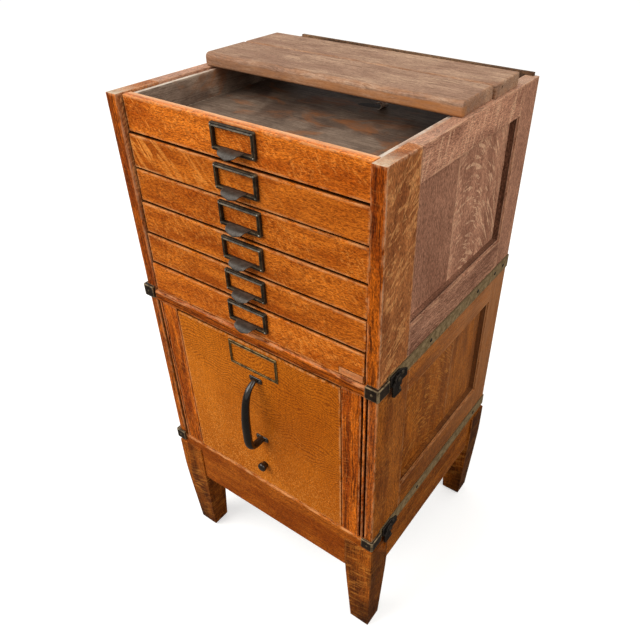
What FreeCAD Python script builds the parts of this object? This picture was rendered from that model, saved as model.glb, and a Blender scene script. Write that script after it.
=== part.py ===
import FreeCAD, Part
import math
import os

import Sketcher

# Sectional oak filing cabinet: a base on four tapered legs, a file section with one deep drawer
# and a section with six flat drawers. Millimetres, Z up, floor at Z 0, drawer fronts towards -Y.
# The drawings below have the middle of the case's depth at Y 0; datum_shift then moves every
# object back, so that the middle of the whole cabinet, bow pull included, lies at the origin.

doc = FreeCAD.newDocument("FilingCabinet")
sheet = doc.addObject("Spreadsheet::Sheet", "Sizes")
Vector = FreeCAD.Vector


class Size:
    """A length in millimetres together with the sheet expression that gives it."""

    def __init__(self, value, text):
        self.value = float(value)
        self.text = text

    def __add__(self, other):
        other = as_size(other)
        return Size(self.value + other.value, f"({self.text} + {other.text})")

    def __sub__(self, other):
        other = as_size(other)
        return Size(self.value - other.value, f"({self.text} - {other.text})")

    def __mul__(self, factor):
        return Size(self.value * factor, f"({self.text} * {factor})")

    def __truediv__(self, factor):
        return Size(self.value / factor, f"({self.text} / {factor})")

    def __neg__(self):
        return Size(-self.value, f"(0 - {self.text})")

    __radd__ = __add__
    __rmul__ = __mul__

    def __rsub__(self, other):
        return as_size(other) - self


def as_size(number):
    """The number itself if it is a Size already, else a Size with a plain number as text."""
    if isinstance(number, Size):
        return number
    return Size(number, f"{number:.6g}")


sheet_rows = 0


def driving(alias, value, meaning):
    """Write one driving dimension to the sheet and return it as a Size."""
    global sheet_rows
    sheet_rows += 1
    sheet.set(f"A{sheet_rows}", meaning)
    sheet.set(f"B{sheet_rows}", f"{value}")
    sheet.setAlias(f"B{sheet_rows}", alias)
    return Size(value, f"Sizes.{alias}")


# Driving dimensions

case_width = driving("case_width", 449, "width over the two side frames")
case_depth = driving("case_depth", 425, "depth of the side frames")
case_height = driving("case_height", 926, "floor to the top of the side frames")
upper_joint = driving("upper_joint", 614.5, "floor to the joint below the flat drawers")
base_joint = driving("base_joint", 274.5, "floor to the joint above the legs")

upper_post = driving("upper_post", 20.4, "thickness of the drawer section's side frames")
lower_post = driving("lower_post", 15.3, "thickness of the file section's side frames")
upper_stile = driving("upper_stile", 78.5, "front stile of an upper side frame")
lower_stile = driving("lower_stile", 86.5, "front stile of a lower side frame")
rear_stile = driving("rear_stile", 58.7, "rear stile of every side frame")
upper_top_rail = driving("upper_top_rail", 48.2, "top rail of an upper side frame")
upper_low_rail = driving("upper_low_rail", 62.9, "bottom rail of an upper side frame")
lower_top_rail = driving("lower_top_rail", 64.9, "top rail of a lower side frame")
lower_low_rail = driving("lower_low_rail", 70.4, "bottom rail of a lower side frame")
panel_recess = driving("panel_recess", 12.5, "side panel behind its frame's face")
panel_thickness = driving("panel_thickness", 6, "side panel")
back_inner = driving("back_inner", 206, "centre to the back panels' inner face")
back_half = driving("back_half", 217, "half width of the back panels")

leg_width = driving("leg_width", 56, "leg along the front")
leg_depth = driving("leg_depth", 52, "leg along the side")
leg_proud = driving("leg_proud", 3.5, "leg face in front of the case")
leg_taper_top = driving("leg_taper_top", 185, "height where the leg starts to taper")
leg_taper = driving("leg_taper", 8.5, "taper of each leg face at the floor")
leg_top = driving("leg_top", 253, "floor to the top of a leg")
apron_bottom = driving("apron_bottom", 175, "floor to the bottom of the base rails")
rail_thickness = driving("rail_thickness", 20, "base rails")

drawer_top = driving("drawer_top", 925, "top edge of the upper drawer front")
drawer_pitch = driving("drawer_pitch", 51.45, "one flat drawer to the next")
drawer_gap = driving("drawer_gap", 3.2, "gap between flat drawer fronts")
drawer_width = driving("drawer_width", 403, "flat drawer front")
drawer_front = driving("drawer_front", 15, "flat drawer front's thickness")
drawer_side = driving("drawer_side", 6, "flat drawer's sides")
drawer_depth = driving("drawer_depth", 42, "height of a flat drawer's sides")
drawer_lift = driving("drawer_lift", 6, "drawer side above its front's lower edge")
drawer_back = driving("drawer_back", 190, "centre to a flat drawer's rear end")
runner_front = driving("runner_front", 188, "centre to the runners' front ends")
runner_width = driving("runner_width", 13.5, "runner below a flat drawer's side")

label_width = driving("label_width", 73, "label frame of a flat drawer")
label_height = driving("label_height", 36, "label frame's height")
label_drop = driving("label_drop", 3, "label frame below the gap above it")
label_depth = driving("label_depth", 6, "label frame in front of the drawer")
lip_width = driving("lip_width", 38, "finger lip")
lip_reach = driving("lip_reach", 20, "finger lip in front of the drawer")
lip_drop = driving("lip_drop", 40, "finger lip's tip below the gap above the drawer")

file_width = driving("file_width", 325.4, "file drawer front")
file_bottom = driving("file_bottom", 276, "floor to the file drawer front")
file_height = driving("file_height", 312.8, "file drawer front's height")
file_front = driving("file_front", 19, "file drawer front's thickness")
file_box_half = driving("file_box_half", 160, "half width of the file drawer's box")
file_box_bottom = driving("file_box_bottom", 285.3, "floor to the file drawer's box")
file_box_height = driving("file_box_height", 190, "file drawer's sides")
file_box_back = driving("file_box_back", 198, "centre to the file drawer box's rear end")
filler_inner = driving("filler_inner", 164.5, "centre to the filler stile")
rod_height = driving("rod_height", 325, "floor to the guide rod")
rod_radius = driving("rod_radius", 5, "guide rod")
handle_top = driving("handle_top", 523, "floor to the bow pull's upper foot")
handle_bottom = driving("handle_bottom", 391, "floor to the bow pull's lower foot")
handle_reach = driving("handle_reach", 36, "bow's centre line in front of the drawer")
handle_radius = driving("handle_radius", 5, "bow of the pull")

strip_low = driving("strip_low", 600, "floor to the upper joint strip")
strip_height = driving("strip_height", 24.5, "joint strip")
strip_thickness = driving("strip_thickness", 2, "joint strip")
cap_height = driving("cap_height", 20.8, "corner cap of a joint strip")
cap_proud = driving("cap_proud", 6.5, "corner cap in front of the case")
base_strip_drop = driving("base_strip_drop", 336.8, "upper joint strip to base joint strip")

board_length = driving("board_length", 435, "loose top board")
board_thickness = driving("board_thickness", 19, "loose top board")
front_board_depth = driving("front_board_depth", 91, "front top board")
back_board_depth = driving("back_board_depth", 80, "back top board")
board_yaw = driving("board_yaw", 0.85, "turn of the loose boards in degrees")

datum_shift = driving("datum_shift", 18, "middle of the case behind the origin")

half_width = case_width / 2
front_face = -case_depth / 2
rear_face = case_depth / 2
flat_drawers = 6
front_recess = (9, 6.5, 6.5, 4.5, 2.5, 0)  # from the top drawer down, behind the posts' faces
clearance = 0.3


# Building helpers


def bind(thing, name, size):
    """Tie one property of a document object to its sheet expression."""
    thing.setExpression(name, as_size(size).text)


def new_body(label):
    """An empty body with its own label, moved back by the datum shift."""
    body = doc.addObject("PartDesign::Body", label)
    body.Label = label
    bind(body, "Placement.Base.y", datum_shift)
    return body


def new_sketch(body, name, plane_role, level):
    """A sketch on an origin plane of the body, moved along the plane's axis to the level."""
    plane = next(f for f in body.Origin.OriginFeatures if f.Role == plane_role)
    sketch = body.newObject("Sketcher::SketchObject", f"{body.Name}_{name}")
    sketch.AttachmentSupport = [(plane, "")]
    sketch.MapMode = "FlatFace"
    level = as_size(level)
    along = -level if plane_role == "XZ_Plane" else level
    bind(sketch, "AttachmentOffset.Base.z", along)
    return sketch


def place_point(sketch, geometry, point, corner):
    """Hold a sketch point at the two Sizes of a corner."""
    for direction, size in zip(("DistanceX", "DistanceY"), corner):
        size = as_size(size)
        number = sketch.addConstraint(
            Sketcher.Constraint(direction, -1, 1, geometry, point, size.value)
        )
        sketch.setExpression(f"Constraints[{number}]", size.text)


def draw(sketch, corners, closed=True):
    """Lines from corner to corner; a third value in a corner is its rounding radius."""
    spots = [Vector(as_size(c[0]).value, as_size(c[1]).value, 0) for c in corners]
    count = len(spots)
    starts = list(spots)
    ends = list(spots)
    arcs = {}
    for i, corner in enumerate(corners):
        if len(corner) < 3:
            continue
        back = (spots[i - 1] - spots[i]).normalize()
        ahead = (spots[(i + 1) % count] - spots[i]).normalize()
        half_angle = back.getAngle(ahead) / 2
        radius = as_size(corner[2]).value
        trim = radius / math.tan(half_angle)
        ends[i] = spots[i] + back * trim
        starts[i] = spots[i] + ahead * trim
        middle = (back + ahead).normalize()
        centre = spots[i] + middle * (radius / math.sin(half_angle))
        arcs[i] = (centre - middle * radius, back.cross(ahead).z < 0)
    line_count = count if closed else count - 1
    lines = [
        sketch.addGeometry(Part.LineSegment(starts[i], ends[(i + 1) % count]))
        for i in range(line_count)
    ]
    for i, corner in enumerate(corners):
        before = lines[i - 1] if closed or i > 0 else None
        after = lines[i] if i < line_count else None
        if i not in arcs:
            if before is not None and after is not None:
                sketch.addConstraint(Sketcher.Constraint("Coincident", before, 2, after, 1))
            if after is not None:
                place_point(sketch, after, 1, corner)
            else:
                place_point(sketch, before, 2, corner)
            continue
        through, turns_left = arcs[i]
        arc = sketch.addGeometry(Part.Arc(ends[i], through, starts[i]))
        first, last = (1, 2) if turns_left else (2, 1)
        sketch.addConstraint(Sketcher.Constraint("Tangent", before, 2, arc, first))
        sketch.addConstraint(Sketcher.Constraint("Tangent", arc, last, after, 1))
        radius = as_size(corner[2])
        number = sketch.addConstraint(Sketcher.Constraint("Radius", arc, radius.value))
        sketch.setExpression(f"Constraints[{number}]", radius.text)
        vertex = sketch.addGeometry(Part.Point(spots[i]), True)
        place_point(sketch, vertex, 1, corner)
        sketch.addConstraint(Sketcher.Constraint("PointOnObject", vertex, 1, before))
        sketch.addConstraint(Sketcher.Constraint("PointOnObject", vertex, 1, after))


def rectangle(u_low, v_low, u_high, v_high):
    """The four corners of a rectangle."""
    return [(u_low, v_low), (u_high, v_low), (u_high, v_high), (u_low, v_high)]


def prism(body, name, plane_role, corners, low, high, cut=False):
    """Pad or pocket an outline between two levels along the plane's axis."""
    sketch = new_sketch(body, name, plane_role, low)
    draw(sketch, corners)
    kind = "Pocket" if cut else "Pad"
    feature = body.newObject(f"PartDesign::{kind}", f"{body.Name}_{name}_{kind.lower()}")
    feature.Profile = sketch
    bind(feature, "Length", as_size(high) - low)
    feature.Reversed = (plane_role == "XZ_Plane") != cut
    sketch.Visibility = False
    doc.recompute()
    return feature


def drill(body, name, plane_role, centre, radius, low, high):
    """A round hole between two levels along the plane's axis."""
    sketch = new_sketch(body, name, plane_role, low)
    centre_point = Vector(as_size(centre[0]).value, as_size(centre[1]).value, 0)
    radius = as_size(radius)
    circle = sketch.addGeometry(Part.Circle(centre_point, Vector(0, 0, 1), radius.value))
    place_point(sketch, circle, 3, centre)
    number = sketch.addConstraint(Sketcher.Constraint("Radius", circle, radius.value))
    sketch.setExpression(f"Constraints[{number}]", radius.text)
    hole = body.newObject("PartDesign::Pocket", f"{body.Name}_{name}_hole")
    hole.Profile = sketch
    bind(hole, "Length", as_size(high) - low)
    hole.Reversed = plane_role != "XZ_Plane"
    sketch.Visibility = False
    doc.recompute()
    return hole


def edges_where(shape, test):
    """Names of the edges whose bounding box passes the test."""
    return [f"Edge{i + 1}" for i, edge in enumerate(shape.Edges) if test(edge.BoundBox)]


def near(first, second):
    """Whether two lengths agree to a hundredth of a millimetre."""
    return abs(first - as_size(second).value) < 0.01


def soften(body, name, radius, test, kind="Fillet"):
    """Fillet or chamfer those edges of the body's last feature that pass the test."""
    last = body.Tip
    feature = body.newObject(f"PartDesign::{kind}", f"{body.Name}_{name}")
    feature.Base = (last, edges_where(last.Shape, test))
    bind(feature, "Radius" if kind == "Fillet" else "Size", radius)
    doc.recompute()
    return feature


def board(label, low, high):
    """A plain rectangular board between two corners."""
    piece = doc.addObject("Part::Box", label)
    piece.Label = label
    shift = (0, datum_shift, 0)
    for name, axis in zip(("Length", "Width", "Height"), range(3)):
        bind(piece, name, as_size(high[axis]) - low[axis])
        bind(piece, f"Placement.Base.{'xyz'[axis]}", as_size(low[axis]) + shift[axis])
    return piece


def group(label, pieces):
    """Several separate solids under one label."""
    compound = doc.addObject("Part::Compound", label)
    compound.Label = label
    compound.Links = pieces
    return compound


def mirrored(label, source):
    """The source's twin on the other side of the cabinet."""
    twin = doc.addObject("Part::Mirroring", label)
    twin.Label = label
    twin.Source = source
    twin.Normal = Vector(1, 0, 0)
    return twin


def regular(centre, radius, sides):
    """Corners of a regular outline round a centre."""
    turns = [2 * math.pi * (i + 0.5) / sides for i in range(sides)]
    return [
        (centre[0] + radius * math.cos(turn), centre[1] + radius * math.sin(turn))
        for turn in turns
    ]


def pin_along_x(label, radius, low, high, y, z, sides):
    """A small many-sided pin from one X to another."""
    pin = doc.addObject("Part::Prism", label)
    pin.Polygon = sides
    bind(pin, "Circumradius", radius)
    bind(pin, "Height", as_size(high) - low)
    pin.Placement = FreeCAD.Placement(Vector(), FreeCAD.Rotation(Vector(0, 1, 0), 90))
    for axis, size in zip("xyz", (low, y + datum_shift, z)):
        bind(pin, f"Placement.Base.{axis}", size)
    return pin


# Base


def leg(label, side, end):
    """Square leg, tapered on all four faces below the rails and chamfered at the floor."""
    body = new_body(label)
    outer_x = (half_width + leg_proud) * side
    inner_x = outer_x - leg_width * side
    outer_y = (case_depth / 2 + leg_proud) * end
    inner_y = outer_y - leg_depth * end
    prism(body, "post", "XY_Plane", rectangle(inner_x, inner_y, outer_x, outer_y), 0, leg_top)
    beyond = 2
    for name, outer, inner, plane, low, high, sign in (
        ("side", outer_x, inner_x, "XZ_Plane", outer_y, inner_y, side),
        ("front", outer_y, inner_y, "YZ_Plane", outer_x, inner_x, end),
    ):
        if low.value > high.value:
            low, high = high, low
        for face, direction in ((outer, -sign), (inner, sign)):
            wedge = [
                (face, leg_taper_top),
                (face + leg_taper * direction, 0),
                (face + leg_taper * direction, -beyond),
                (face - beyond * direction, -beyond),
                (face - beyond * direction, leg_taper_top),
            ]
            place = "outer" if face is outer else "inner"
            prism(body, f"{name}_{place}_taper", plane, wedge, low - beyond, high + beyond, True)
    soften(body, "foot", 5, lambda box: box.ZMax < 0.01, "Chamfer")
    return body


def front_leg(label, side):
    """A front leg with the dark slot in its outer face, near the side rail."""
    body = leg(label, side, -1)
    outer_x = (half_width + leg_proud) * side
    inner_x = outer_x - 9 * side
    low, high = (inner_x, outer_x) if side > 0 else (outer_x, inner_x)
    slot_front = front_face + 31.5
    round_end = 5.2
    corners = [
        (slot_front, 224, round_end),
        (slot_front + 11, 224, round_end),
        (slot_front + 11, 246, round_end),
        (slot_front, 246, round_end),
    ]
    prism(body, "slot", "YZ_Plane", corners, low, high, True)
    return body


def base_rail(label, plane_role, low_end, high_end, half_top, low, high):
    """Apron whose upper strip runs on over the leg tops."""
    body = new_body(label)
    outline = [
        (low_end, apron_bottom),
        (high_end, apron_bottom),
        (high_end, leg_top),
        (half_top, leg_top),
        (half_top, base_joint),
        (-half_top, base_joint),
        (-half_top, leg_top),
        (low_end, leg_top),
    ]
    prism(body, "apron", plane_role, outline, low, high)
    return body


def build_base():
    """Four legs and the four rails between them."""
    for row, end in (("front", -1), ("back", 1)):
        for hand, side in (("left", -1), ("right", 1)):
            label = f"base_leg_{row}_{hand}"
            if row == "front":
                front_leg(label, side)
            else:
                leg(label, side, end)
    leg_inner = half_width + leg_proud - leg_width
    rail_front = front_face - 2
    rail_behind = rail_front + rail_thickness
    front = base_rail(
        "base_rail_front", "XZ_Plane", -leg_inner + 3.5, leg_inner - clearance,
        half_width, rail_front, rail_behind,
    )
    soften(front, "lip", 2.5, lambda box: near(box.YMin, rail_front) and near(box.YMax, rail_front)
           and near(box.ZMin, base_joint) and near(box.ZMax, base_joint))
    back_rail_front = rear_face - rail_thickness
    base_rail(
        "base_rail_back", "XZ_Plane", -leg_inner + clearance, leg_inner - clearance,
        half_width, back_rail_front, rear_face,
    )
    leg_rear = case_depth / 2 + leg_proud - leg_depth
    for hand, side in (("left", -1), ("right", 1)):
        face = half_width * side
        inner = face - rail_thickness * side
        low, high = (inner, face) if side > 0 else (face, inner)
        body = new_body(f"base_rail_{hand}")
        rail_end = leg_rear - clearance
        outline = [
            (-rail_end, apron_bottom),
            (rail_end, apron_bottom),
            (rail_end, leg_top),
            (back_rail_front, leg_top),
            (back_rail_front, base_joint),
            (rail_behind, base_joint),
            (rail_behind, leg_top),
            (-rail_end, leg_top),
        ]
        prism(body, "apron", "YZ_Plane", outline, low, high)


# Sections


def side_frame(label, side, bottom, top, post, stile, low_rail, top_rail):
    """Stiles and rails round an opening, with a stepped edge and a groove for the panel."""
    body = new_body(label)
    face = half_width * side
    inner = face - post * side

    def levels(first_depth, last_depth):
        """X levels between two depths behind the frame's outer face."""
        first = face - as_size(first_depth) * side
        last = face - as_size(last_depth) * side
        return (last, first) if side > 0 else (first, last)

    def opening(margin):
        """The window in the frame, widened on all sides."""
        return rectangle(
            front_face + stile - margin, bottom + low_rail - margin,
            rear_face - rear_stile + margin, top - top_rail + margin,
        )

    prism(body, "frame", "YZ_Plane", rectangle(front_face, bottom, rear_face, top), *levels(0, post))
    beyond = 1
    prism(body, "window", "YZ_Plane", opening(0), *levels(-beyond, post + beyond), cut=True)
    prism(body, "step", "YZ_Plane", opening(3), *levels(-beyond, 3), cut=True)
    groove_end = panel_recess + panel_thickness + 0.1
    prism(body, "groove", "YZ_Plane", opening(6), *levels(panel_recess - 0.1, groove_end), cut=True)
    rebate_outer = (back_half + 0.2) * side
    past_inner = inner - beyond * side
    x_low, x_high = (past_inner, rebate_outer) if side > 0 else (rebate_outer, past_inner)
    rebate = rectangle(x_low, back_inner, x_high, rear_face + beyond)
    prism(body, "rebate", "XY_Plane", rebate, bottom - beyond, top + beyond, True)
    return body


def side_panel(label, side, bottom, top, stile, low_rail, top_rail):
    """Flat panel seated in its frame's groove."""
    outer = (half_width - panel_recess) * side
    inner = outer - panel_thickness * side
    x_low, x_high = (inner, outer) if side > 0 else (outer, inner)
    seat = 5.5
    low = (x_low, front_face + stile - seat, bottom + low_rail - seat)
    high = (x_high, rear_face - rear_stile + seat, top - top_rail + seat)
    return board(label, low, high)


def web_frame(label, half, front, bottom, thickness, border):
    """Flat frame across a section, open in the middle."""
    body = new_body(label)
    outline = rectangle(-half, front, half, back_inner)
    prism(body, "frame", "XY_Plane", outline, bottom, bottom + thickness)
    opening = rectangle(-half + border, front + border, half - border, back_inner - border)
    beyond = 1
    prism(body, "opening", "XY_Plane", opening, bottom - beyond, bottom + thickness + beyond, True)
    return body


def front_rail(body, bottom, top):
    """The rounded rail along the front of a section's top frame."""
    nose = 3
    half = back_half - 10
    outline = rectangle(-half, bottom, half, top)
    prism(body, "nose", "XZ_Plane", outline, front_face - nose, front_face)
    soften(body, "round", nose - 0.2, lambda box: near(box.YMin, front_face - nose)
           and near(box.YMax, front_face - nose) and box.XLength > 100)


def filler_stile(label, side, bottom, top):
    """Upright beside the file drawer, with two grooves that leave a bead between them."""
    body = new_body(label)
    depth = 19
    groove = 6
    post_inner = half_width - lower_post
    front = front_face
    rear = front_face + depth
    outline = [
        (filler_inner * side, rear),
        (filler_inner * side, front),
        ((filler_inner + 33) * side, front),
        ((filler_inner + 33) * side, front + groove),
        ((filler_inner + 36.2) * side, front + groove),
        ((filler_inner + 36.2) * side, front + 0.8),
        ((filler_inner + 40.3) * side, front + 0.8),
        ((filler_inner + 40.3) * side, front + groove),
        ((post_inner - 0.1) * side, front + groove),
        ((post_inner - 0.1) * side, rear),
    ]
    prism(body, "moulding", "XY_Plane", outline, bottom, top)
    return body


def runner_start():
    """Y of the front ends below the file drawer, which stop its front."""
    return front_face + file_front + clearance


def file_runner(label, side):
    """Angled runner: a ledge under the file drawer's side and a guide beside it."""
    body = new_body(label)
    ledge_low = base_joint + 6
    ledge_top = file_box_bottom - clearance
    guide = (file_box_half + clearance) * side
    outer = (half_width - lower_post - 0.1) * side
    outline = [
        ((file_box_half - 15) * side, ledge_low),
        (outer, ledge_low),
        (outer, ledge_top),
        ((file_box_half + 15) * side, ledge_top),
        ((file_box_half + 15) * side, ledge_top + 20),
        (guide, ledge_top + 20),
        (guide, ledge_top),
        ((file_box_half - 15) * side, ledge_top),
    ]
    prism(body, "profile", "XZ_Plane", outline, runner_start(), back_inner - 0.1)
    return body


def build_file_section():
    """Case of the deep file drawer."""
    for hand, side in (("left", -1), ("right", 1)):
        side_frame(f"lower_side_frame_{hand}", side, base_joint, upper_joint, lower_post,
                   lower_stile, lower_low_rail, lower_top_rail)
        side_panel(f"lower_side_panel_{hand}", side, base_joint, upper_joint,
                   lower_stile, lower_low_rail, lower_top_rail)
    inside = half_width - lower_post - 0.1
    rail_bottom = upper_joint - 20.5
    top = web_frame("lower_top_frame", inside, front_face, rail_bottom, 20.5, 58)
    front_rail(top, rail_bottom, upper_joint)
    web_frame("lower_bottom_frame", inside, runner_start(), base_joint, 6, 55)
    board("lower_back_panel", (-back_half, back_inner + 0.1, base_joint),
          (back_half, back_inner + 6.1, upper_joint))
    fillers = [
        filler_stile(f"filler_{hand}", side, base_joint + clearance, rail_bottom)
        for hand, side in (("left", -1), ("right", 1))
    ]
    group("filler_stiles", fillers)
    runners = [
        file_runner(f"file_runner_{hand}", side) for hand, side in (("left", -1), ("right", 1))
    ]
    group("file_drawer_runners", runners)


def front_bottom(number):
    """Height of the lower edge of a flat drawer's front, counted from the top."""
    line = drawer_top - drawer_pitch * number
    if number == flat_drawers:
        line = upper_joint
    return line + drawer_gap / 2


def front_top(number):
    """Height of the upper edge of a flat drawer's front."""
    if number == 1:
        return drawer_top
    return drawer_top - drawer_pitch * (number - 1) - drawer_gap / 2


def box_bottom(number):
    """Height of the underside of a flat drawer's box."""
    return drawer_top - drawer_pitch * number + drawer_gap / 2 + drawer_lift


def build_drawer_section():
    """Case of the six flat drawers."""
    for hand, side in (("left", -1), ("right", 1)):
        side_frame(f"upper_side_frame_{hand}", side, upper_joint, case_height, upper_post,
                   upper_stile, upper_low_rail, upper_top_rail)
        side_panel(f"upper_side_panel_{hand}", side, upper_joint, case_height,
                   upper_stile, upper_low_rail, upper_top_rail)
    inside = half_width - upper_post - 0.1
    frame_thickness = box_bottom(flat_drawers) - clearance - upper_joint
    web_frame("upper_bottom_frame", inside, -runner_front, upper_joint, frame_thickness, 50)
    board("upper_back_panel", (-back_half, back_inner + 0.1, upper_joint),
          (back_half, back_inner + 6.1, case_height + 4.5))
    runners = []
    thickness = 5.5
    for number in range(1, flat_drawers):
        top = box_bottom(number) - clearance
        for hand, side in (("left", -1), ("right", 1)):
            outer = inside * side
            inner = outer - runner_width * side
            x_low, x_high = (inner, outer) if side > 0 else (outer, inner)
            runners.append(board(f"runner_{number}_{hand}", (x_low, -runner_front, top - thickness),
                                 (x_high, back_inner - 0.1, top)))
    group("flat_drawer_runners", runners)


# Drawers


def flat_drawer(number):
    """Front, box and label frame of one flat drawer."""
    face = front_face + front_recess[number - 1]
    behind = face + drawer_front
    half = drawer_width / 2
    board(f"drawer_{number}_front", (-half, face, front_bottom(number)),
          (half, behind, front_top(number)))
    low = box_bottom(number)
    box = new_body(f"drawer_{number}_box")
    plan = rectangle(-half, behind, half, drawer_back)
    prism(box, "block", "XY_Plane", plan, low, low + drawer_depth)
    beyond = 1
    bottom_thickness = 3.5
    hollow = rectangle(-half + drawer_side, behind - beyond, half - drawer_side,
                       drawer_back - drawer_side - 2)
    prism(box, "hollow", "XY_Plane", hollow, low + bottom_thickness,
          low + drawer_depth + beyond, True)
    gap_line = drawer_top - drawer_pitch * (number - 1)
    label_pull(f"drawer_{number}_label_pull", face, gap_line)


def label_pull(label, face, gap_line):
    """Label frame with a finger lip that runs forward from its lower bar and turns down."""
    body = new_body(label)
    half = label_width / 2
    top = gap_line - label_drop
    bottom = top - label_height
    outline = rectangle(-half, bottom, half, top)
    prism(body, "frame", "XZ_Plane", outline, face - label_depth, face)
    soften(body, "edge", 1.6, lambda box: near(box.YMin, face - label_depth)
           and near(box.YMax, face - label_depth), "Chamfer")
    side_bar = 5.5
    window = rectangle(-half + side_bar, bottom + 7, half - side_bar, top - 6)
    prism(body, "window", "XZ_Plane", window, face - label_depth - 1, face + 1, True)
    thickness = 1.8
    bend = 8
    lip_top = bottom + 6.5
    tip = gap_line - lip_drop
    front = face - lip_reach
    profile = [
        (face - 4, lip_top),
        (front, lip_top, bend),
        (front, tip),
        (front + thickness, tip),
        (front + thickness, lip_top - thickness, bend - thickness),
        (face - 4, lip_top - thickness),
    ]
    prism(body, "lip", "YZ_Plane", profile, -lip_width / 2, lip_width / 2)
    start = face - label_depth - 0.1
    past = 6
    lip_half = lip_width / 2
    around = [
        (-lip_half - past, start),
        (-lip_half - past, front - past),
        (lip_half + past, front - past),
        (lip_half + past, start),
        (lip_half, start),
        (lip_half, front, 13),
        (-lip_half, front, 13),
        (-lip_half, start),
    ]
    prism(body, "tongue", "XY_Plane", around, tip - past, lip_top + past, True)
    return body


def file_drawer():
    """Deep drawer with its box."""
    half = file_width / 2
    behind = front_face + file_front
    front = new_body("file_drawer_front")
    face = rectangle(-half, file_bottom, half, file_bottom + file_height)
    prism(front, "board", "XZ_Plane", face, front_face, behind)
    drill(front, "rod", "XZ_Plane", (0, rod_height), rod_radius + 0.08, front_face - 1, behind + 1)
    box = new_body("file_drawer_box")
    low = file_box_bottom
    plan = rectangle(-file_box_half, behind, file_box_half, file_box_back)
    prism(box, "block", "XY_Plane", plan, low, low + file_box_height)
    side = 10
    hollow = rectangle(-file_box_half + side, behind - 1, file_box_half - side,
                       file_box_back - side)
    prism(box, "hollow", "XY_Plane", hollow, low + 6, low + file_box_height + 1, True)
    drill(box, "rod", "XZ_Plane", (0, rod_height), rod_radius + 0.08, file_box_back - side - 1,
          file_box_back + 1)


def file_label_frame():
    """Thin pressed label frame of the file drawer."""
    body = new_body("file_label_frame")
    left, right = -50, 47
    low, high = 537.5, 583.5
    depth = 2.2
    outline = rectangle(left, low, right, high)
    prism(body, "frame", "XZ_Plane", outline, front_face - depth, front_face)
    window = rectangle(left + 4.5, low + 4.5, right - 4.5, high - 6)
    prism(body, "window", "XZ_Plane", window, front_face - depth - 1, front_face + 1, True)
    soften(body, "edge", 0.8, lambda box: near(box.YMin, front_face - depth)
           and near(box.YMax, front_face - depth))


def bow_pull():
    """Upright bow on two flat feet: a many-sided section carried along a bent path."""
    body = new_body("file_bow_pull")
    foot_half = 13
    foot_height = 10
    foot_thickness = 3.5
    for name, height in (("upper", handle_top), ("lower", handle_bottom)):
        outline = rectangle(-foot_half, height - foot_height / 2, foot_half,
                            height + foot_height / 2)
        outline = [(u, v, 2.5) for u, v in outline]
        prism(body, f"{name}_foot", "XZ_Plane", outline, front_face - foot_thickness, front_face)
        if name == "upper":
            start = front_face - 1
            path = new_sketch(body, "path", "YZ_Plane", 0)
            draw(path, [
                (start, handle_top),
                (front_face - handle_reach + 7, handle_top - 16, 26),
                (front_face - handle_reach, handle_bottom, 13),
                (start, handle_bottom),
            ], closed=False)
            section = new_sketch(body, "section", "XZ_Plane", start)
            draw(section, regular((Size(0, "0"), handle_top), handle_radius.value, 12))
            bow = body.newObject("PartDesign::AdditivePipe", "file_bow_pull_bow")
            bow.Profile = section
            bow.Spine = (path, [])
            doc.recompute()
    return body


def guide_rod():
    """Rod through the file drawer with a turned knob on the front."""
    body = new_body("guide_rod")
    knob_radius = 8.5
    knob_reach = 13
    rear = file_box_back + 6
    sketch = new_sketch(body, "profile", "YZ_Plane", 0)
    axis = rod_height
    draw(sketch, [
        (front_face - knob_reach, axis),
        (rear, axis),
        (rear, axis + rod_radius),
        (front_face - 0.3, axis + rod_radius),
        (front_face - 0.3, axis + 6.5),
        (front_face - 4, axis + 6.5),
        (front_face - 5.5, axis + knob_radius),
        (front_face - knob_reach + 2, axis + knob_radius),
        (front_face - knob_reach, axis + knob_radius - 2.5),
    ])
    turned = body.newObject("PartDesign::Revolution", "guide_rod_turned")
    turned.Profile = sketch
    turned.ReferenceAxis = (sketch, ["Edge1"])
    turned.Angle = 360
    sketch.Visibility = False
    doc.recompute()
    return body


def follower_block():
    """Upright plate behind the files, with a block that slides on the guide rod."""
    body = new_body("follower_block")
    half = file_box_half - 10.6
    low = file_box_bottom + 6.4
    plate = rectangle(-half, low, half, low + 165)
    plate[2] = (half, low + 165, 20)
    plate[3] = (-half, low + 165, 20)
    plate_front = file_box_back - 21
    plate_behind = plate_front + 10
    block_front = plate_front - 38
    prism(body, "plate", "XZ_Plane", plate, plate_front, plate_behind)
    block = rectangle(-22, low, 22, rod_height + 22)
    prism(body, "block", "XZ_Plane", block, block_front, plate_front)
    drill(body, "rod", "XZ_Plane", (0, rod_height), rod_radius + 0.08, block_front - 1,
          plate_behind + 1)
    return body


# Joint hardware


def screw_places():
    """Y of the screws along the upper strip and along the base strip."""
    return (-70.5, 89, 156, 189.5), (-67, 162.5)


def joint_strip(label, drop, holes, seat):
    """Right-hand joint strip with the cap that wraps the front corner, its back on the seat."""
    body = new_body(label)
    low = strip_low - drop
    cap_outer = half_width + 5
    cap_inner = back_half - 10
    plan = [
        (cap_inner, front_face - cap_proud),
        (cap_outer, front_face - cap_proud, 3),
        (cap_outer, front_face + 22.5),
        (half_width, front_face + 22.5),
        (half_width, seat),
        (cap_inner, seat),
    ]
    prism(body, "cap", "XY_Plane", plan, low, low + cap_height)
    strip = rectangle(front_face + 22, low, rear_face, low + strip_height)
    prism(body, "strip", "YZ_Plane", strip, half_width, half_width + strip_thickness)
    for index, y in enumerate(holes):
        drill(body, f"hole_{index}", "YZ_Plane", (y, low + strip_height / 2), 2.1,
              half_width - 1, half_width + strip_thickness + 1)
    return body


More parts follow.
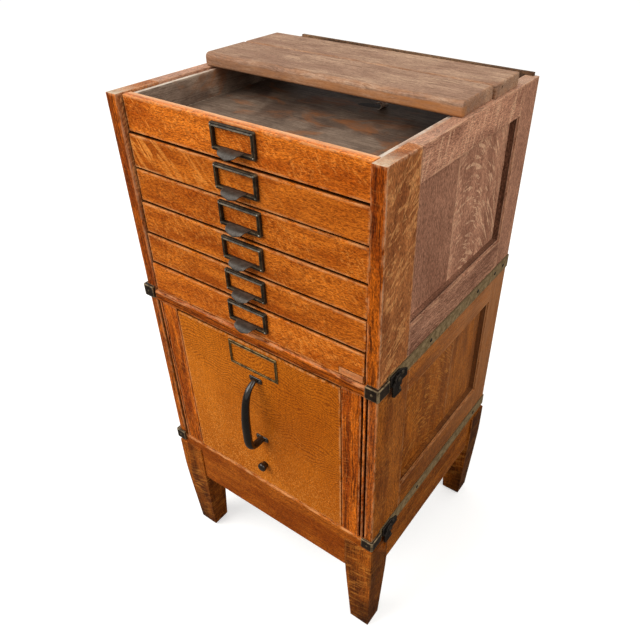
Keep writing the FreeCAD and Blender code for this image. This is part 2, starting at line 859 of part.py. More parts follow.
def strip_screws():
    """Domed screws of the right-hand strips."""
    screws = []
    face = half_width + strip_thickness
    for drop, places in zip((0, base_strip_drop), screw_places()):
        height = strip_low - drop + strip_height / 2
        for y in places:
            name = f"screw_{len(screws)}"
            shank = pin_along_x(f"{name}_shank", 1.9, half_width, face + 0.5, y, height, 8)
            head = pin_along_x(f"{name}_head", 3.6, face, face + 1.3, y, height, 12)
            screw = doc.addObject("Part::Fuse", name)
            screw.Base = head
            screw.Tool = shank
            screws.append(screw)
    return screws


latch_shift = ((0, 0), (3, base_strip_drop))  # along the side and down, upper joint then base
pivot_y = front_face + 39.5
pivot_z = strip_low + 14


def latch_outline(corners, shift_y, drop):
    """Corners given from the pivot, moved to one of the two joints."""
    centre_y = pivot_y + shift_y
    centre_z = pivot_z - drop
    return [(centre_y + c[0], centre_z + c[1]) + tuple(c[2:]) for c in corners]


def latch_plate(label, shift_y, drop):
    """Fixed plate of a latch with its pivot and its screw head."""
    body = new_body(label)
    back = half_width + strip_thickness + 0.2
    front = back + 3
    outline = latch_outline([
        (-15, -10), (-15, 8), (-13.5, 9.5), (10, 9.5), (30, -2), (30, -15), (16, -15),
        (16, -20.5), (14.5, -22), (11, -22), (9.5, -20.5), (9.5, -10),
    ], shift_y, drop)
    prism(body, "plate", "YZ_Plane", outline, back, front)
    centre_y = pivot_y + shift_y
    centre_z = pivot_z - drop
    sketch = new_sketch(body, "pivot", "YZ_Plane", front - 0.5)
    circle = sketch.addGeometry(
        Part.Circle(Vector(centre_y.value, centre_z.value, 0), Vector(0, 0, 1), 2.5)
    )
    place_point(sketch, circle, 3, (centre_y, centre_z))
    sketch.addConstraint(Sketcher.Constraint("Radius", circle, 2.5))
    pin = body.newObject("PartDesign::Pad", f"{body.Name}_pivot_pad")
    pin.Profile = sketch
    bind(pin, "Length", 4.8)
    sketch.Visibility = False
    doc.recompute()
    pivot_head = regular((centre_y, centre_z), 4, 12)
    prism(body, "pivot_head", "YZ_Plane", pivot_head, front + 4.1, front + 5.4)
    screw_head = regular((centre_y + 16, centre_z), 3.8, 12)
    prism(body, "screw_head", "YZ_Plane", screw_head, front - 0.5, front + 1.6)
    return body


def latch_hook(label, shift_y, drop):
    """Swinging hook: an eye on the pivot and a finger that passes under the catch stud."""
    body = new_body(label)
    back = half_width + strip_thickness + 3.5
    front = back + 3.5
    outline = latch_outline([
        (-8.5, 3), (-4, 7.5), (4, 7.5), (8.5, 3), (8.5, -9.5), (0.5, -12.5), (0.5, -23.5),
        (9, -23.5), (9, -28), (-10, -28), (-13.5, -24.5), (-13.5, -6), (-8.5, -3),
    ], shift_y, drop)
    prism(body, "hook", "YZ_Plane", outline, back, front)
    drill(body, "eye", "YZ_Plane", (pivot_y + shift_y, pivot_z - drop), 2.58, back - 1, front + 1)
    return body


def build_hardware():
    """Strips, screws and latches of both joints on both sides."""
    upper_holes, base_holes = screw_places()
    upper = joint_strip("joint_strip_right", 0, upper_holes, front_face)
    base = joint_strip("base_strip_right", base_strip_drop, base_holes, front_face - 2.1)
    mirrored("joint_strip_left", upper)
    mirrored("base_strip_left", base)
    plates = []
    studs = []
    for joint, (shift_y, drop) in zip(("upper", "base"), latch_shift):
        plate = latch_plate(f"{joint}_plate", shift_y, drop)
        stud = pin_along_x(f"{joint}_stud", 3, half_width, half_width + strip_thickness + 7,
                           pivot_y + shift_y + 5, pivot_z - drop - 20, 12)
        hook = latch_hook(f"{joint}_latch_hook_right", shift_y, drop)
        mirrored(f"{joint}_latch_hook_left", hook)
        plates += [plate, mirrored(f"{joint}_plate_left", plate)]
        studs.append(stud)
    group("latch_plates", plates)
    fasteners = strip_screws() + studs
    twins = [mirrored(f"{fastener.Name}_left", fastener) for fastener in fasteners]
    group("strip_screws_and_studs", fasteners + twins)


# Loose top boards


def top_board(label, length, depth, centre_x, centre_y):
    """A loose board laid across the side frames, turned a little."""
    body = new_body(label)
    outline = rectangle(-length / 2, -depth / 2, length / 2, depth / 2)
    prism(body, "board", "XY_Plane", outline, 0, board_thickness)
    body.Placement = FreeCAD.Placement(Vector(), FreeCAD.Rotation(Vector(0, 0, 1), 1))
    bind(body, "Placement.Rotation.Angle", board_yaw)
    for axis, size in zip("xyz", (centre_x, centre_y + datum_shift, case_height)):
        bind(body, f"Placement.Base.{axis}", size)
    return body


def build_top():
    """Front board with a rounded nosing, and the square back board."""
    front = top_board("front_top_board", board_length, front_board_depth, 0, 11.5)
    depth = front_board_depth / 2
    soften(front, "corner", 12, lambda box: near(box.YMax, -depth) and box.ZLength > 10
           and box.XMax < 0)
    soften(front, "nosing", 7, lambda box: near(box.ZMin, board_thickness)
           and box.YMin < 0 and box.YMax < depth.value - 5)
    soften(front, "under", 4, lambda box: near(box.ZMax, 0)
           and box.YMin < 0 and box.YMax < depth.value - 5)
    top_board("back_top_board", board_length, back_board_depth, 1.5, 101)


def finish():
    """Check every object, then write each labelled piece to its own file."""
    doc.recompute()
    used = {link for thing in doc.Objects for link in thing.OutList}
    pieces = [
        thing for thing in doc.Objects
        if thing not in used and hasattr(thing, "Shape")
        and thing.isDerivedFrom("Part::Feature")
    ]
    pieces += [
        thing for thing in doc.Objects
        if thing in used and thing.Label in kept_sources
    ]
    for thing in doc.Objects:
        if "Invalid" in thing.State or "Error" in thing.State:
            raise RuntimeError(f"{thing.Label} did not compute")
    os.makedirs("parts", exist_ok=True)
    for old in os.listdir("parts"):
        os.remove(os.path.join("parts", old))
    for piece in pieces:
        shape = piece.Shape
        if shape.isNull() or not shape.isValid():
            raise RuntimeError(f"{piece.Label} has no sound shape")
        shape.exportStep(f"parts/{piece.Label}.step")
    print(len(pieces), "pieces written")


kept_sources = (
    "joint_strip_right", "base_strip_right", "upper_latch_hook_right", "base_latch_hook_right",
)

build_base()
build_file_section()
build_drawer_section()
for drawer_number in range(1, flat_drawers + 1):
    flat_drawer(drawer_number)
file_drawer()
file_label_frame()
bow_pull()
guide_rod()
follower_block()
build_hardware()
build_top()
finish()
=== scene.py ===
import math

import bpy
import numpy as np
from mathutils import Matrix, Vector


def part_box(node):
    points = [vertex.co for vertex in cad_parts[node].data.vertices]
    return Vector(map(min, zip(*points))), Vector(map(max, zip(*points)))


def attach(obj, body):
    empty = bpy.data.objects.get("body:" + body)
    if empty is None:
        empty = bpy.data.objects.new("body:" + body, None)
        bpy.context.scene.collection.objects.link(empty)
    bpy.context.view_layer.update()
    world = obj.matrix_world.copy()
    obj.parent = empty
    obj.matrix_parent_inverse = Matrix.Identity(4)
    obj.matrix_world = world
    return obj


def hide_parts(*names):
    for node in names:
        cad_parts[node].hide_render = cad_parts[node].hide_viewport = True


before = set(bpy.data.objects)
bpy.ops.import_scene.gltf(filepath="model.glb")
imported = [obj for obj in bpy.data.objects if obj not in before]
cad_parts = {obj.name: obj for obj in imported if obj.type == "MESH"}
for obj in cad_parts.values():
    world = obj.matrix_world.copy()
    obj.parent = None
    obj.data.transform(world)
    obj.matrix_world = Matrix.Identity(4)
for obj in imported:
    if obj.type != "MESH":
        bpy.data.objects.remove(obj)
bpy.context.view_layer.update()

bl_info = {
    "name": "Sectional filing cabinet",
    "version": (1, 0, 0),
    "blender": (4, 5, 0),
    "location": "3D View > Sidebar > Cabinet",
    "description": "Dresses the packed model of a sectional oak filing cabinet",
    "category": "Add Mesh",
}

# All lengths below are in millimetres. X and y start from the middle of the case, which lies
# 18 mm behind the frame's origin, and z from the floor.
MM = 0.001
MIDDLE = np.array([0, 18, 0])
SIDES = ((-1, "left"), (1, "right"))
SIDE_FACE, CASE_BACK, CASE_TOP, LEG_TOP = 224.5, 212.5, 926.0, 253.0
DRAWERS = range(1, 7)
PLANES = ("YZ", "XZ", "XY")  # the plane across each axis
MARKS = ("worn", "tone", "figure", "bare", "soot")  # what each point of a part tells its wood
LOOKS = {}  # the materials by name, once they are made
SMOOTH = {"interpolation_type": "SMOOTHSTEP"}  # the setting of every range that blends two looks


# Colour


def linear(hex_colour):
    """sRGB hex to linear RGBA: below the knee a straight line, above it a power of 2.4."""
    part = np.array([int(hex_colour[i:i + 2], 16) for i in (1, 3, 5)]) / 255
    low = part / 12.92
    high = ((part + 0.055) / 1.055) ** 2.4
    return (*np.where(part <= 0.04045, low, high).tolist(), 1.0)


# Settings


def colour_setting(label, description, hex_colour):
    """A colour that a user may change."""
    return bpy.props.FloatVectorProperty(
        name=label, description=description, subtype="COLOR", size=4,
        min=0, max=1, default=linear(hex_colour),
    )


def length_setting(label, description, millimetres):
    """A length that a user may change."""
    return bpy.props.FloatProperty(
        name=label, description=description, default=millimetres * MM,
        min=0, subtype="DISTANCE", unit="LENGTH",
    )


class CabinetSizes(bpy.types.PropertyGroup):
    """Edge and trim sizes."""

    front_round: length_setting("Front edge", "Rounding of the drawer fronts", 1.1)
    bar_height: length_setting("Label bar", "Label frame's bars in front of a drawer", 5.8)
    grip_radius: length_setting("Grip", "Half thickness of the bow pull's grip", 7.6)


class CabinetColours(bpy.types.PropertyGroup):
    """Colours of the woods and metals."""

    front_pale: colour_setting("Front, pale", "Pale grain of the drawer fronts", "#D2721F")
    front_dark: colour_setting("Front, dark", "Dark grain of the drawer fronts", "#A04A0C")
    post_pale: colour_setting("Post, pale", "Pale grain of posts and rails", "#C96614")
    post_dark: colour_setting("Post, dark", "Dark grain of posts and rails", "#8A3A08")
    # The drawer section's sides are pinkish brown, partly faded varnish and partly a painted sheen
    side_pale_with_sheen: colour_setting("Side, pale", "Pale grain of the drawer section's sides", "#C38D6F")
    side_dark_with_sheen: colour_setting("Side, dark", "Dark grain of the drawer section's sides", "#966750")
    low_pale: colour_setting("Low side, pale", "Pale grain of the file section's sides", "#AE6018")
    low_dark: colour_setting("Low side, dark", "Dark grain of the file section's sides", "#783B0A")
    leg_pale: colour_setting("Leg, pale", "Pale grain of the legs", "#AE5A14")
    leg_dark: colour_setting("Leg, dark", "Dark grain of the legs", "#5A2808")
    board_pale: colour_setting("Top board, pale", "Bare grey-brown of the boards", "#B69377")
    board_dark: colour_setting("Top board, dark", "Dark stains on the boards", "#93705A")
    inner_pale: colour_setting("Inside, pale", "Lighter dust on the inner wood", "#84705F")
    inner_dark: colour_setting("Inside, dark", "Dark stain of the inner wood", "#5A483C")
    bronze: colour_setting("Strips", "Aged bronze of the joint strips", "#98805C")
    label_bronze: colour_setting("Label frames", "Dark bronze of the label frames", "#2A2118")
    lip_steel: colour_setting("Finger lips", "Worn grey steel of the lips", "#4E463D")
    black_enamel: colour_setting("Pull and latches", "Black stoved enamel", "#0E0B09")


class CabinetStage(bpy.types.PropertyGroup):
    """Camera and lamps."""

    lens: bpy.props.FloatProperty(
        name="Lens", description="Focal length in millimetres", default=34.856, min=1)
    key_power: bpy.props.FloatProperty(
        name="Key lamp", description="Power of the large lamp", default=95, min=0, unit="POWER")
    fill_power: bpy.props.FloatProperty(
        name="Fill lamp", description="Power of the weak lamp", default=34, min=0, unit="POWER")
    sky: bpy.props.FloatProperty(
        name="Sky", description="Brightness of the plain surroundings", default=0.72, min=0)


# Shapes. A part is a dictionary of arrays: points, faces and one value per point for each
# attribute. All outlines are in millimetres and run anticlockwise.


def unit(vectors):
    """Each vector divided by its own length."""
    return vectors / np.maximum(np.linalg.norm(vectors, axis=-1, keepdims=True), 1e-12)


def ring(corners, inset, radius, band, steps, weights):
    """One loop round an outline.

    Each side moves inwards by inset times its weight, and a corner goes to where its two moved
    sides cross. The corner is then an arc that touches both sides, with one more point at the
    band's distance on either side of it. Returns the points and 1 for each point on an arc.
    """
    ahead = unit(np.roll(corners, -1, 0) - corners)
    inward = np.column_stack([-ahead[:, 1], ahead[:, 0]])
    before = np.roll(inward, 1, 0)
    shift = inset * weights
    shift_before = np.roll(shift, 1)
    cross = before[:, 0] * inward[:, 1] - before[:, 1] * inward[:, 0]
    moved = corners + np.column_stack([
        (shift_before * inward[:, 1] - shift * before[:, 1]) / cross,
        (shift * before[:, 0] - shift_before * inward[:, 0]) / cross,
    ])
    back = np.roll(moved, 1, 0) - moved
    forth = np.roll(moved, -1, 0) - moved
    back_length = np.linalg.norm(back, axis=1)
    forth_length = np.linalg.norm(forth, axis=1)
    back, forth = unit(back), unit(forth)
    half = 0.5 * np.arccos(np.clip((back * forth).sum(1), -1, 1))
    room = 0.46 * np.minimum(back_length, forth_length)
    size = np.where(cross > 0, radius - inset, radius + inset)
    size = np.clip(size, 0.00004, room * np.tan(half))
    tangent = size / np.tan(half)
    middle = unit(back + forth)
    across = unit(forth - back)
    centre = moved + middle * (size / np.sin(half))[:, None]
    turn = np.linspace(-1, 1, steps + 1) * (math.pi / 2 - half)[:, None]
    arc = centre[:, None] + size[:, None, None] * (
        across[:, None] * np.sin(turn)[..., None] - middle[:, None] * np.cos(turn)[..., None])
    reach = max(band - inset, 0)
    first = moved + back * np.clip(reach, tangent + 0.00002, 0.49 * back_length)[:, None]
    last = moved + forth * np.clip(reach, tangent + 0.00002, 0.49 * forth_length)[:, None]
    loop = np.concatenate([first[:, None], arc, last[:, None]], axis=1)
    flags = np.ones(loop.shape[:2])
    flags[:, 0] = flags[:, -1] = 0
    return loop.reshape(-1, 2), flags.ravel()


def place(flat, level, plane):
    """Points of an outline on a plane, lifted to a level along the plane's normal."""
    u, v = flat[..., 0], flat[..., 1]
    order = {"XY": (u, v, level), "XZ": (u, level, v), "YZ": (level, u, v)}[plane]
    return np.stack(order, axis=-1)


def grid_faces(rows, columns, close_rows, close_columns):
    """Quads of a grid of points; the closed directions join their last row to the first."""
    row = np.arange(rows if close_rows else rows - 1)
    column = np.arange(columns if close_columns else columns - 1)
    r, c = np.meshgrid(row, column, indexing="ij")
    r2, c2 = (r + 1) % rows, (c + 1) % columns
    quads = np.stack([r * columns + c, r * columns + c2, r2 * columns + c2, r2 * columns + c], -1)
    return quads.reshape(-1, 4)


def end_caps(rows, columns):
    """The first and the last row of a grid of rings, each as one flat face."""
    start = np.arange(columns)
    return [start[::-1], start + (rows - 1) * columns]


def solid(points, quads, caps=(), worn=0.0, **marks):
    """A part from its arrays, turned inside out if its signed volume is negative."""
    triangles = [quads[:, [0, 1, 2]], quads[:, [0, 2, 3]]]
    for cap in caps:
        triangles.append(np.stack([np.full(len(cap) - 2, cap[0]), cap[1:-1], cap[2:]], axis=1))
    corner = points[np.concatenate(triangles)]
    volume = (corner[:, 0] * np.cross(corner[:, 1], corner[:, 2])).sum()
    if volume < 0:
        quads = quads[:, ::-1]
        caps = [cap[::-1] for cap in caps]
    part = {"points": points, "quads": quads, "caps": list(caps)}
    part["worn"] = np.broadcast_to(np.asarray(worn, float), len(points)).copy()
    for name in MARKS[1:]:
        part[name] = np.full(len(points), float(marks.get(name, 0)))
    return grained(part, marks.get("along", 2), marks.get("seed", 1), marks.get("through", 1))


def grained(part, along, seed, through):
    """Give a part its wood coordinates: along the grain, across the face and into it.

    The seed moves the part to its own depth of the patterns, so no two boards are alike.
    """
    across = 3 - along - through
    axes = part["points"][:, [along, across, through]]
    part["grain"] = axes + seed * np.array([0, 0, 0.197])
    return part


def shell(corners, profile, plane, radius=1.0, band=4.0, steps=2, weights=1.0, loop=False,
          **marks):
    """An outline carried through a profile.

    Row k of the profile moves the outline inwards by its first value and lifts it to its second.
    The third value is the row's mark of wear and painted light, or -1 on a flat cap. An open
    profile ends in caps and a looped one closes on itself, which gives a frame.
    """
    corners = np.asarray(corners, float) * MM
    area = 0.5 * (corners[:, 0] * np.roll(corners[:, 1], -1)
                  - np.roll(corners[:, 0], -1) * corners[:, 1]).sum()
    weights = np.broadcast_to(np.asarray(weights, float), len(corners))
    radius = np.broadcast_to(np.asarray(radius, float), len(corners)) * MM
    if area < 0:
        corners = corners[::-1]
        weights = np.roll(weights[::-1], -1)
        radius = radius[::-1]
    profile = np.asarray(profile, float)
    rings = [ring(corners, inset * MM, radius, band * MM, steps, weights)
             for inset in profile[:, 0]]
    flat = np.array([points for points, _ in rings])
    level = np.broadcast_to(profile[:, 1, None] * MM, flat.shape[:2])
    points = place(flat, level, plane).reshape(-1, 3)
    worn = np.maximum(profile[:, 2, None], rings[0][1])
    worn = np.where(profile[:, 2, None] < 0, 0, worn).ravel()
    rows, columns = flat.shape[:2]
    quads = grid_faces(rows, columns, loop, True)
    return solid(points, quads, [] if loop else end_caps(rows, columns), worn, **marks)


def rim(low, high, edge, band=4.0, width=100.0):
    """Profile of a board between two levels, with both rims turned to a quarter round."""
    thickness = abs(high - low)
    side = 1 if high > low else -1
    edge = min(edge, 0.45 * thickness, 0.3 * width)
    reach = min(band, 0.4 * width)
    turn = np.linspace(0, math.pi / 2, 3)
    inset = edge * (1 - np.sin(turn))
    lift = edge * (1 - np.cos(turn))
    flat_wall = min(max(band, edge * 1.2), 0.49 * thickness)
    rows = [(reach, 0, -1)] if reach > edge * 1.05 else []
    rows += [(i, k, 1) for i, k in zip(inset, lift)]
    rows.append((0, flat_wall, 0))
    upper = [(i, thickness - k, w) for i, k, w in reversed(rows)]
    return [(i, low + side * k, w) for i, k, w in rows + upper]


def rectangle(u_low, v_low, u_high, v_high):
    """The four corners of a rectangle."""
    return [(u_low, v_low), (u_high, v_low), (u_high, v_high), (u_low, v_high)]


def board(low, high, along, thick, edge=1.2, **marks):
    """A rectangular board between two corners in millimetres, thin along the axis thick."""
    low, high = np.minimum(low, high), np.maximum(low, high)
    u, v = [axis for axis in range(3) if axis != thick]
    outline = rectangle(low[u], low[v], high[u], high[v])
    width = min(high[u] - low[u], high[v] - low[v])
    marks.setdefault("radius", edge)
    return shell(outline, rim(low[thick], high[thick], edge, width=width), PLANES[thick],
                 along=along, through=thick, **marks)


def turned(profile, axis, centre, sides=24, **marks):
    """A profile of (radius, level, wear and painted light) rows spun about an axis through the
    centre.

    Each row is a circle; the first and last rows are closed by flat caps.
    """
    profile = np.asarray(profile, float)
    angle = np.arange(sides) * 2 * math.pi / sides
    radius, level = profile[:, 0, None] * MM, profile[:, 1, None] * MM
    flat = np.stack([radius * np.cos(angle), radius * np.sin(angle)], -1)
    lifted = np.broadcast_to(level, flat.shape[:2])
    points = place(flat, lifted, PLANES[axis]).reshape(-1, 3) + np.asarray(centre) * MM
    quads = grid_faces(len(profile), sides, False, True)
    worn = np.repeat(profile[:, 2], sides)
    return solid(points, quads, end_caps(len(profile), sides), worn, **marks)


def smooth_path(knots, count):
    """Points on the curve through the knots: each span blends by the cubic Catmull-Rom rule."""
    knots = np.asarray(knots, float)
    padded = np.concatenate([2 * knots[:1] - knots[1:2], knots, 2 * knots[-1:] - knots[-2:-1]])
    t = np.linspace(0, len(knots) - 1, count)
    span = np.minimum(t.astype(int), len(knots) - 2)
    f = (t - span)[:, None]
    a, b, c, d = (padded[span + k] for k in range(4))
    return 0.5 * (2 * b + (c - a) * f + (2 * a - 5 * b + 4 * c - d) * f ** 2
                  + (3 * b - a - 3 * c + d) * f ** 3)


def swept(path, side_axis, half_width, half_depth, sides=24, worn=0.0, **marks):
    """An ellipse carried along a path in millimetres that lies in one plane.

    At each point the ellipse's first half axis is half_width along side_axis, which is normal to
    the path's plane, and its second is half_depth along the curve's own normal.
    """
    path = np.asarray(path, float)
    side_axis = np.asarray(side_axis, float)
    tangent = unit(np.gradient(path, axis=0))
    normal = unit(np.cross(tangent, side_axis))
    angle = np.arange(sides) * 2 * math.pi / sides
    wide = np.broadcast_to(half_width, len(path))[:, None, None]
    deep = np.broadcast_to(half_depth, len(path))[:, None, None]
    points = (path[:, None] + wide * np.cos(angle)[None, :, None] * side_axis
              + deep * np.sin(angle)[None, :, None] * normal[:, None])
    quads = grid_faces(len(path), sides, False, True)
    worn = np.repeat(np.broadcast_to(worn, len(path)), sides)
    caps = end_caps(len(path), sides)
    return solid(points.reshape(-1, 3) * MM, quads, caps, worn, **marks)


def leaf(surface, thickness, **marks):
    """A grid surface in millimetres given a thickness along its own normals, closed at its rim.

    The normal at a point is the cross product of the differences along the two grid directions.
    """
    down = np.gradient(surface, axis=0)
    along = np.gradient(surface, axis=1)
    normal = unit(np.cross(down, along))
    rows, columns = surface.shape[:2]
    half = thickness / 2
    points = np.concatenate([(surface + normal * half).reshape(-1, 3),
                             (surface - normal * half).reshape(-1, 3)]) * MM
    face = grid_faces(rows, columns, False, False)
    index = np.arange(rows * columns).reshape(rows, columns)
    border = np.concatenate([index[0, :-1], index[:-1, -1], index[-1, :0:-1], index[:0:-1, 0]])
    after = np.roll(border, -1)
    wall = np.stack([border, border + rows * columns, after + rows * columns, after], 1)
    quads = np.concatenate([face, face[:, ::-1] + rows * columns, wall])
    worn = np.zeros(rows * columns)
    worn[border] = 1
    return solid(points, quads, (), np.tile(worn, 2), **marks)


def mirrored(part):
    """The part's twin on the other side of the cabinet, with its faces turned back outwards."""
    twin = dict(part)
    twin["points"] = part["points"] * np.array([-1, 1, 1])
    twin["grain"] = part["grain"] + np.array([0, 0, 0.29])
    twin["quads"] = part["quads"][:, ::-1]
    twin["caps"] = [cap[::-1] for cap in part["caps"]]
    return twin


def on_side(parts, side):
    """Parts drawn for the right side, or their twins for the left one."""
    return parts if side > 0 else [mirrored(part) for part in parts]


def mesh_of(name, parts):
    """One mesh from several closed parts, with their attributes."""
    start = np.cumsum([0] + [len(part["points"]) for part in parts])
    faces = []
    for offset, part in zip(start, parts):
        faces += (part["quads"] + offset).tolist()
        faces += [(cap + offset).tolist() for cap in part["caps"]]
    mesh = bpy.data.meshes.new(name)
    points = np.concatenate([part["points"] for part in parts])
    mesh.from_pydata(points + MIDDLE * MM, [], faces)
    mesh.update()
    grain = mesh.attributes.new("grain", "FLOAT_VECTOR", "POINT")
    grain.data.foreach_set("vector", np.concatenate([part["grain"] for part in parts]).ravel())
    for mark in MARKS:
        layer = mesh.attributes.new(mark, "FLOAT", "POINT")
        layer.data.foreach_set("value", np.concatenate([part[mark] for part in parts]))
    return mesh


def piece(name, parts, body, look, nodes, angle=38):
    """A finished object on its body, smooth except at edges sharper than the angle."""
    mesh = mesh_of(name, parts)
    mesh.shade_smooth()
    mesh.set_sharp_from_angle(angle=math.radians(angle))
    made = bpy.data.objects.new(name, mesh)
    bpy.context.scene.collection.objects.link(made)
    mesh.materials.append(LOOKS[look])
    made.modifiers.new("face normals", "WEIGHTED_NORMAL").keep_sharp = True
    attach(made, body)
    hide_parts(*nodes)
    return made


def node_box(name):
    """Lowest and highest corner of a CAD node, in millimetres from the case's middle."""
    low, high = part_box(name)
    return np.array(low) / MM - MIDDLE, np.array(high) / MM - MIDDLE


# Materials


def add(tree, kind, inputs=(), **settings):
    """One shader node with its settings.

    Its inputs are given in their order or by name. Each is a value, a hex colour, another node's
    output, or a node, which stands for its first output.
    """
    made = tree.nodes.new("ShaderNode" + kind)
    for name, value in settings.items():
        setattr(made, name, value)
    for name, value in inputs.items() if isinstance(inputs, dict) else enumerate(inputs):
        if isinstance(value, bpy.types.Node):
            value = value.outputs[0]
        if isinstance(value, bpy.types.NodeSocket):
            tree.links.new(value, made.inputs[name])
        else:
            made.inputs[name].default_value = linear(value) if isinstance(value, str) else value
    return made


def new_material(name):
    """An empty node material and its tree."""
    material = bpy.data.materials.new(name)
    material.use_nodes = True
    material.node_tree.nodes.clear()
    return material, material.node_tree


def laid(tree, under, over, pattern, low, high, share=1.0, start=0.0):
    """A colour laid over another as a pattern's value passes smoothly from low to high.

    The upper one's part grows from the start to the whole of its share.
    """
    rise = add(tree, "MapRange", (pattern, low, high, start, 1.0), **SMOOTH)
    part = add(tree, "Math", (rise, share), operation="MULTIPLY")
    return add(tree, "Mix", {0: part, 6: under, 7: over}, data_type="RGBA").outputs[2]


def noise_at(tree, where, scale, turn=0.0, **values):
    """Noise whose cells have the given lengths in millimetres, turned about the face's normal."""
    stretch = tuple(1 / (length * MM) for length in scale)
    turned_to = add(tree, "VectorRotate", {"Vector": where, "Angle": math.radians(turn)},
                    rotation_type="Z_AXIS")
    scaled = add(tree, "VectorMath", (turned_to, stretch), operation="MULTIPLY")
    return add(tree, "TexNoise", {
        "Vector": scaled, "Scale": 1.0, "Detail": values.get("detail", 2.0),
        "Roughness": values.get("rough", 0.5), "Distortion": values.get("wave", 0.0)})


def bowed(tree, spot, centre, bow):
    """The place moved along the grain by bow times the squared distance from a centre line.

    Strokes drawn across the grain then arch over the centre line, as ray figure does.
    """
    along, across, through = add(tree, "SeparateXYZ", (spot,)).outputs
    off = add(tree, "Math", (across, centre * MM), operation="SUBTRACT")
    square = add(tree, "Math", (off, off), operation="MULTIPLY")
    along = add(tree, "Math", (square, bow, along), operation="MULTIPLY_ADD")
    return add(tree, "CombineXYZ", (along, across, through))


def wandering(tree, spot, reach, scale):
    """The place shifted by a slow noise, up to about half the reach in millimetres each way."""
    drift = add(tree, "TexNoise", {"Vector": spot, "Scale": scale, "Detail": 2.0}).outputs["Color"]
    drift = add(tree, "VectorMath", (drift, (0.5, 0.5, 0.5)), operation="SUBTRACT")
    return add(tree, "VectorMath", (drift, (reach * MM,) * 3, spot), operation="MULTIPLY_ADD")


def rippled(tree, colour, spot, look, parts):
    """Dark ripples across the grain where the figure is strong, broken up by the pores.

    One turn of the node's wave is pi / 10 long at scale 1, so its scale follows from a period.
    """
    pores, figure = parts
    share, period = look["ripple"]
    waves = add(tree, "TexWave", {
        "Vector": wandering(tree, spot, 60, 14.0), "Scale": math.pi / 10 / (period * MM),
        "Distortion": 5.0, "Detail": 1.5, "Detail Scale": 0.35},
        wave_type="BANDS", bands_direction="X").outputs["Fac"]
    for pattern, low, high, start in ((figure, -0.06, 0.1, 0.0), (pores, 0.36, 0.58, 0.3)):
        rise = add(tree, "MapRange", (pattern, low, high, start, 1.0), **SMOOTH)
        share = add(tree, "Math", (rise, share), operation="MULTIPLY")
    return laid(tree, colour, look["line"], waves, 0.45, 0.9, share)


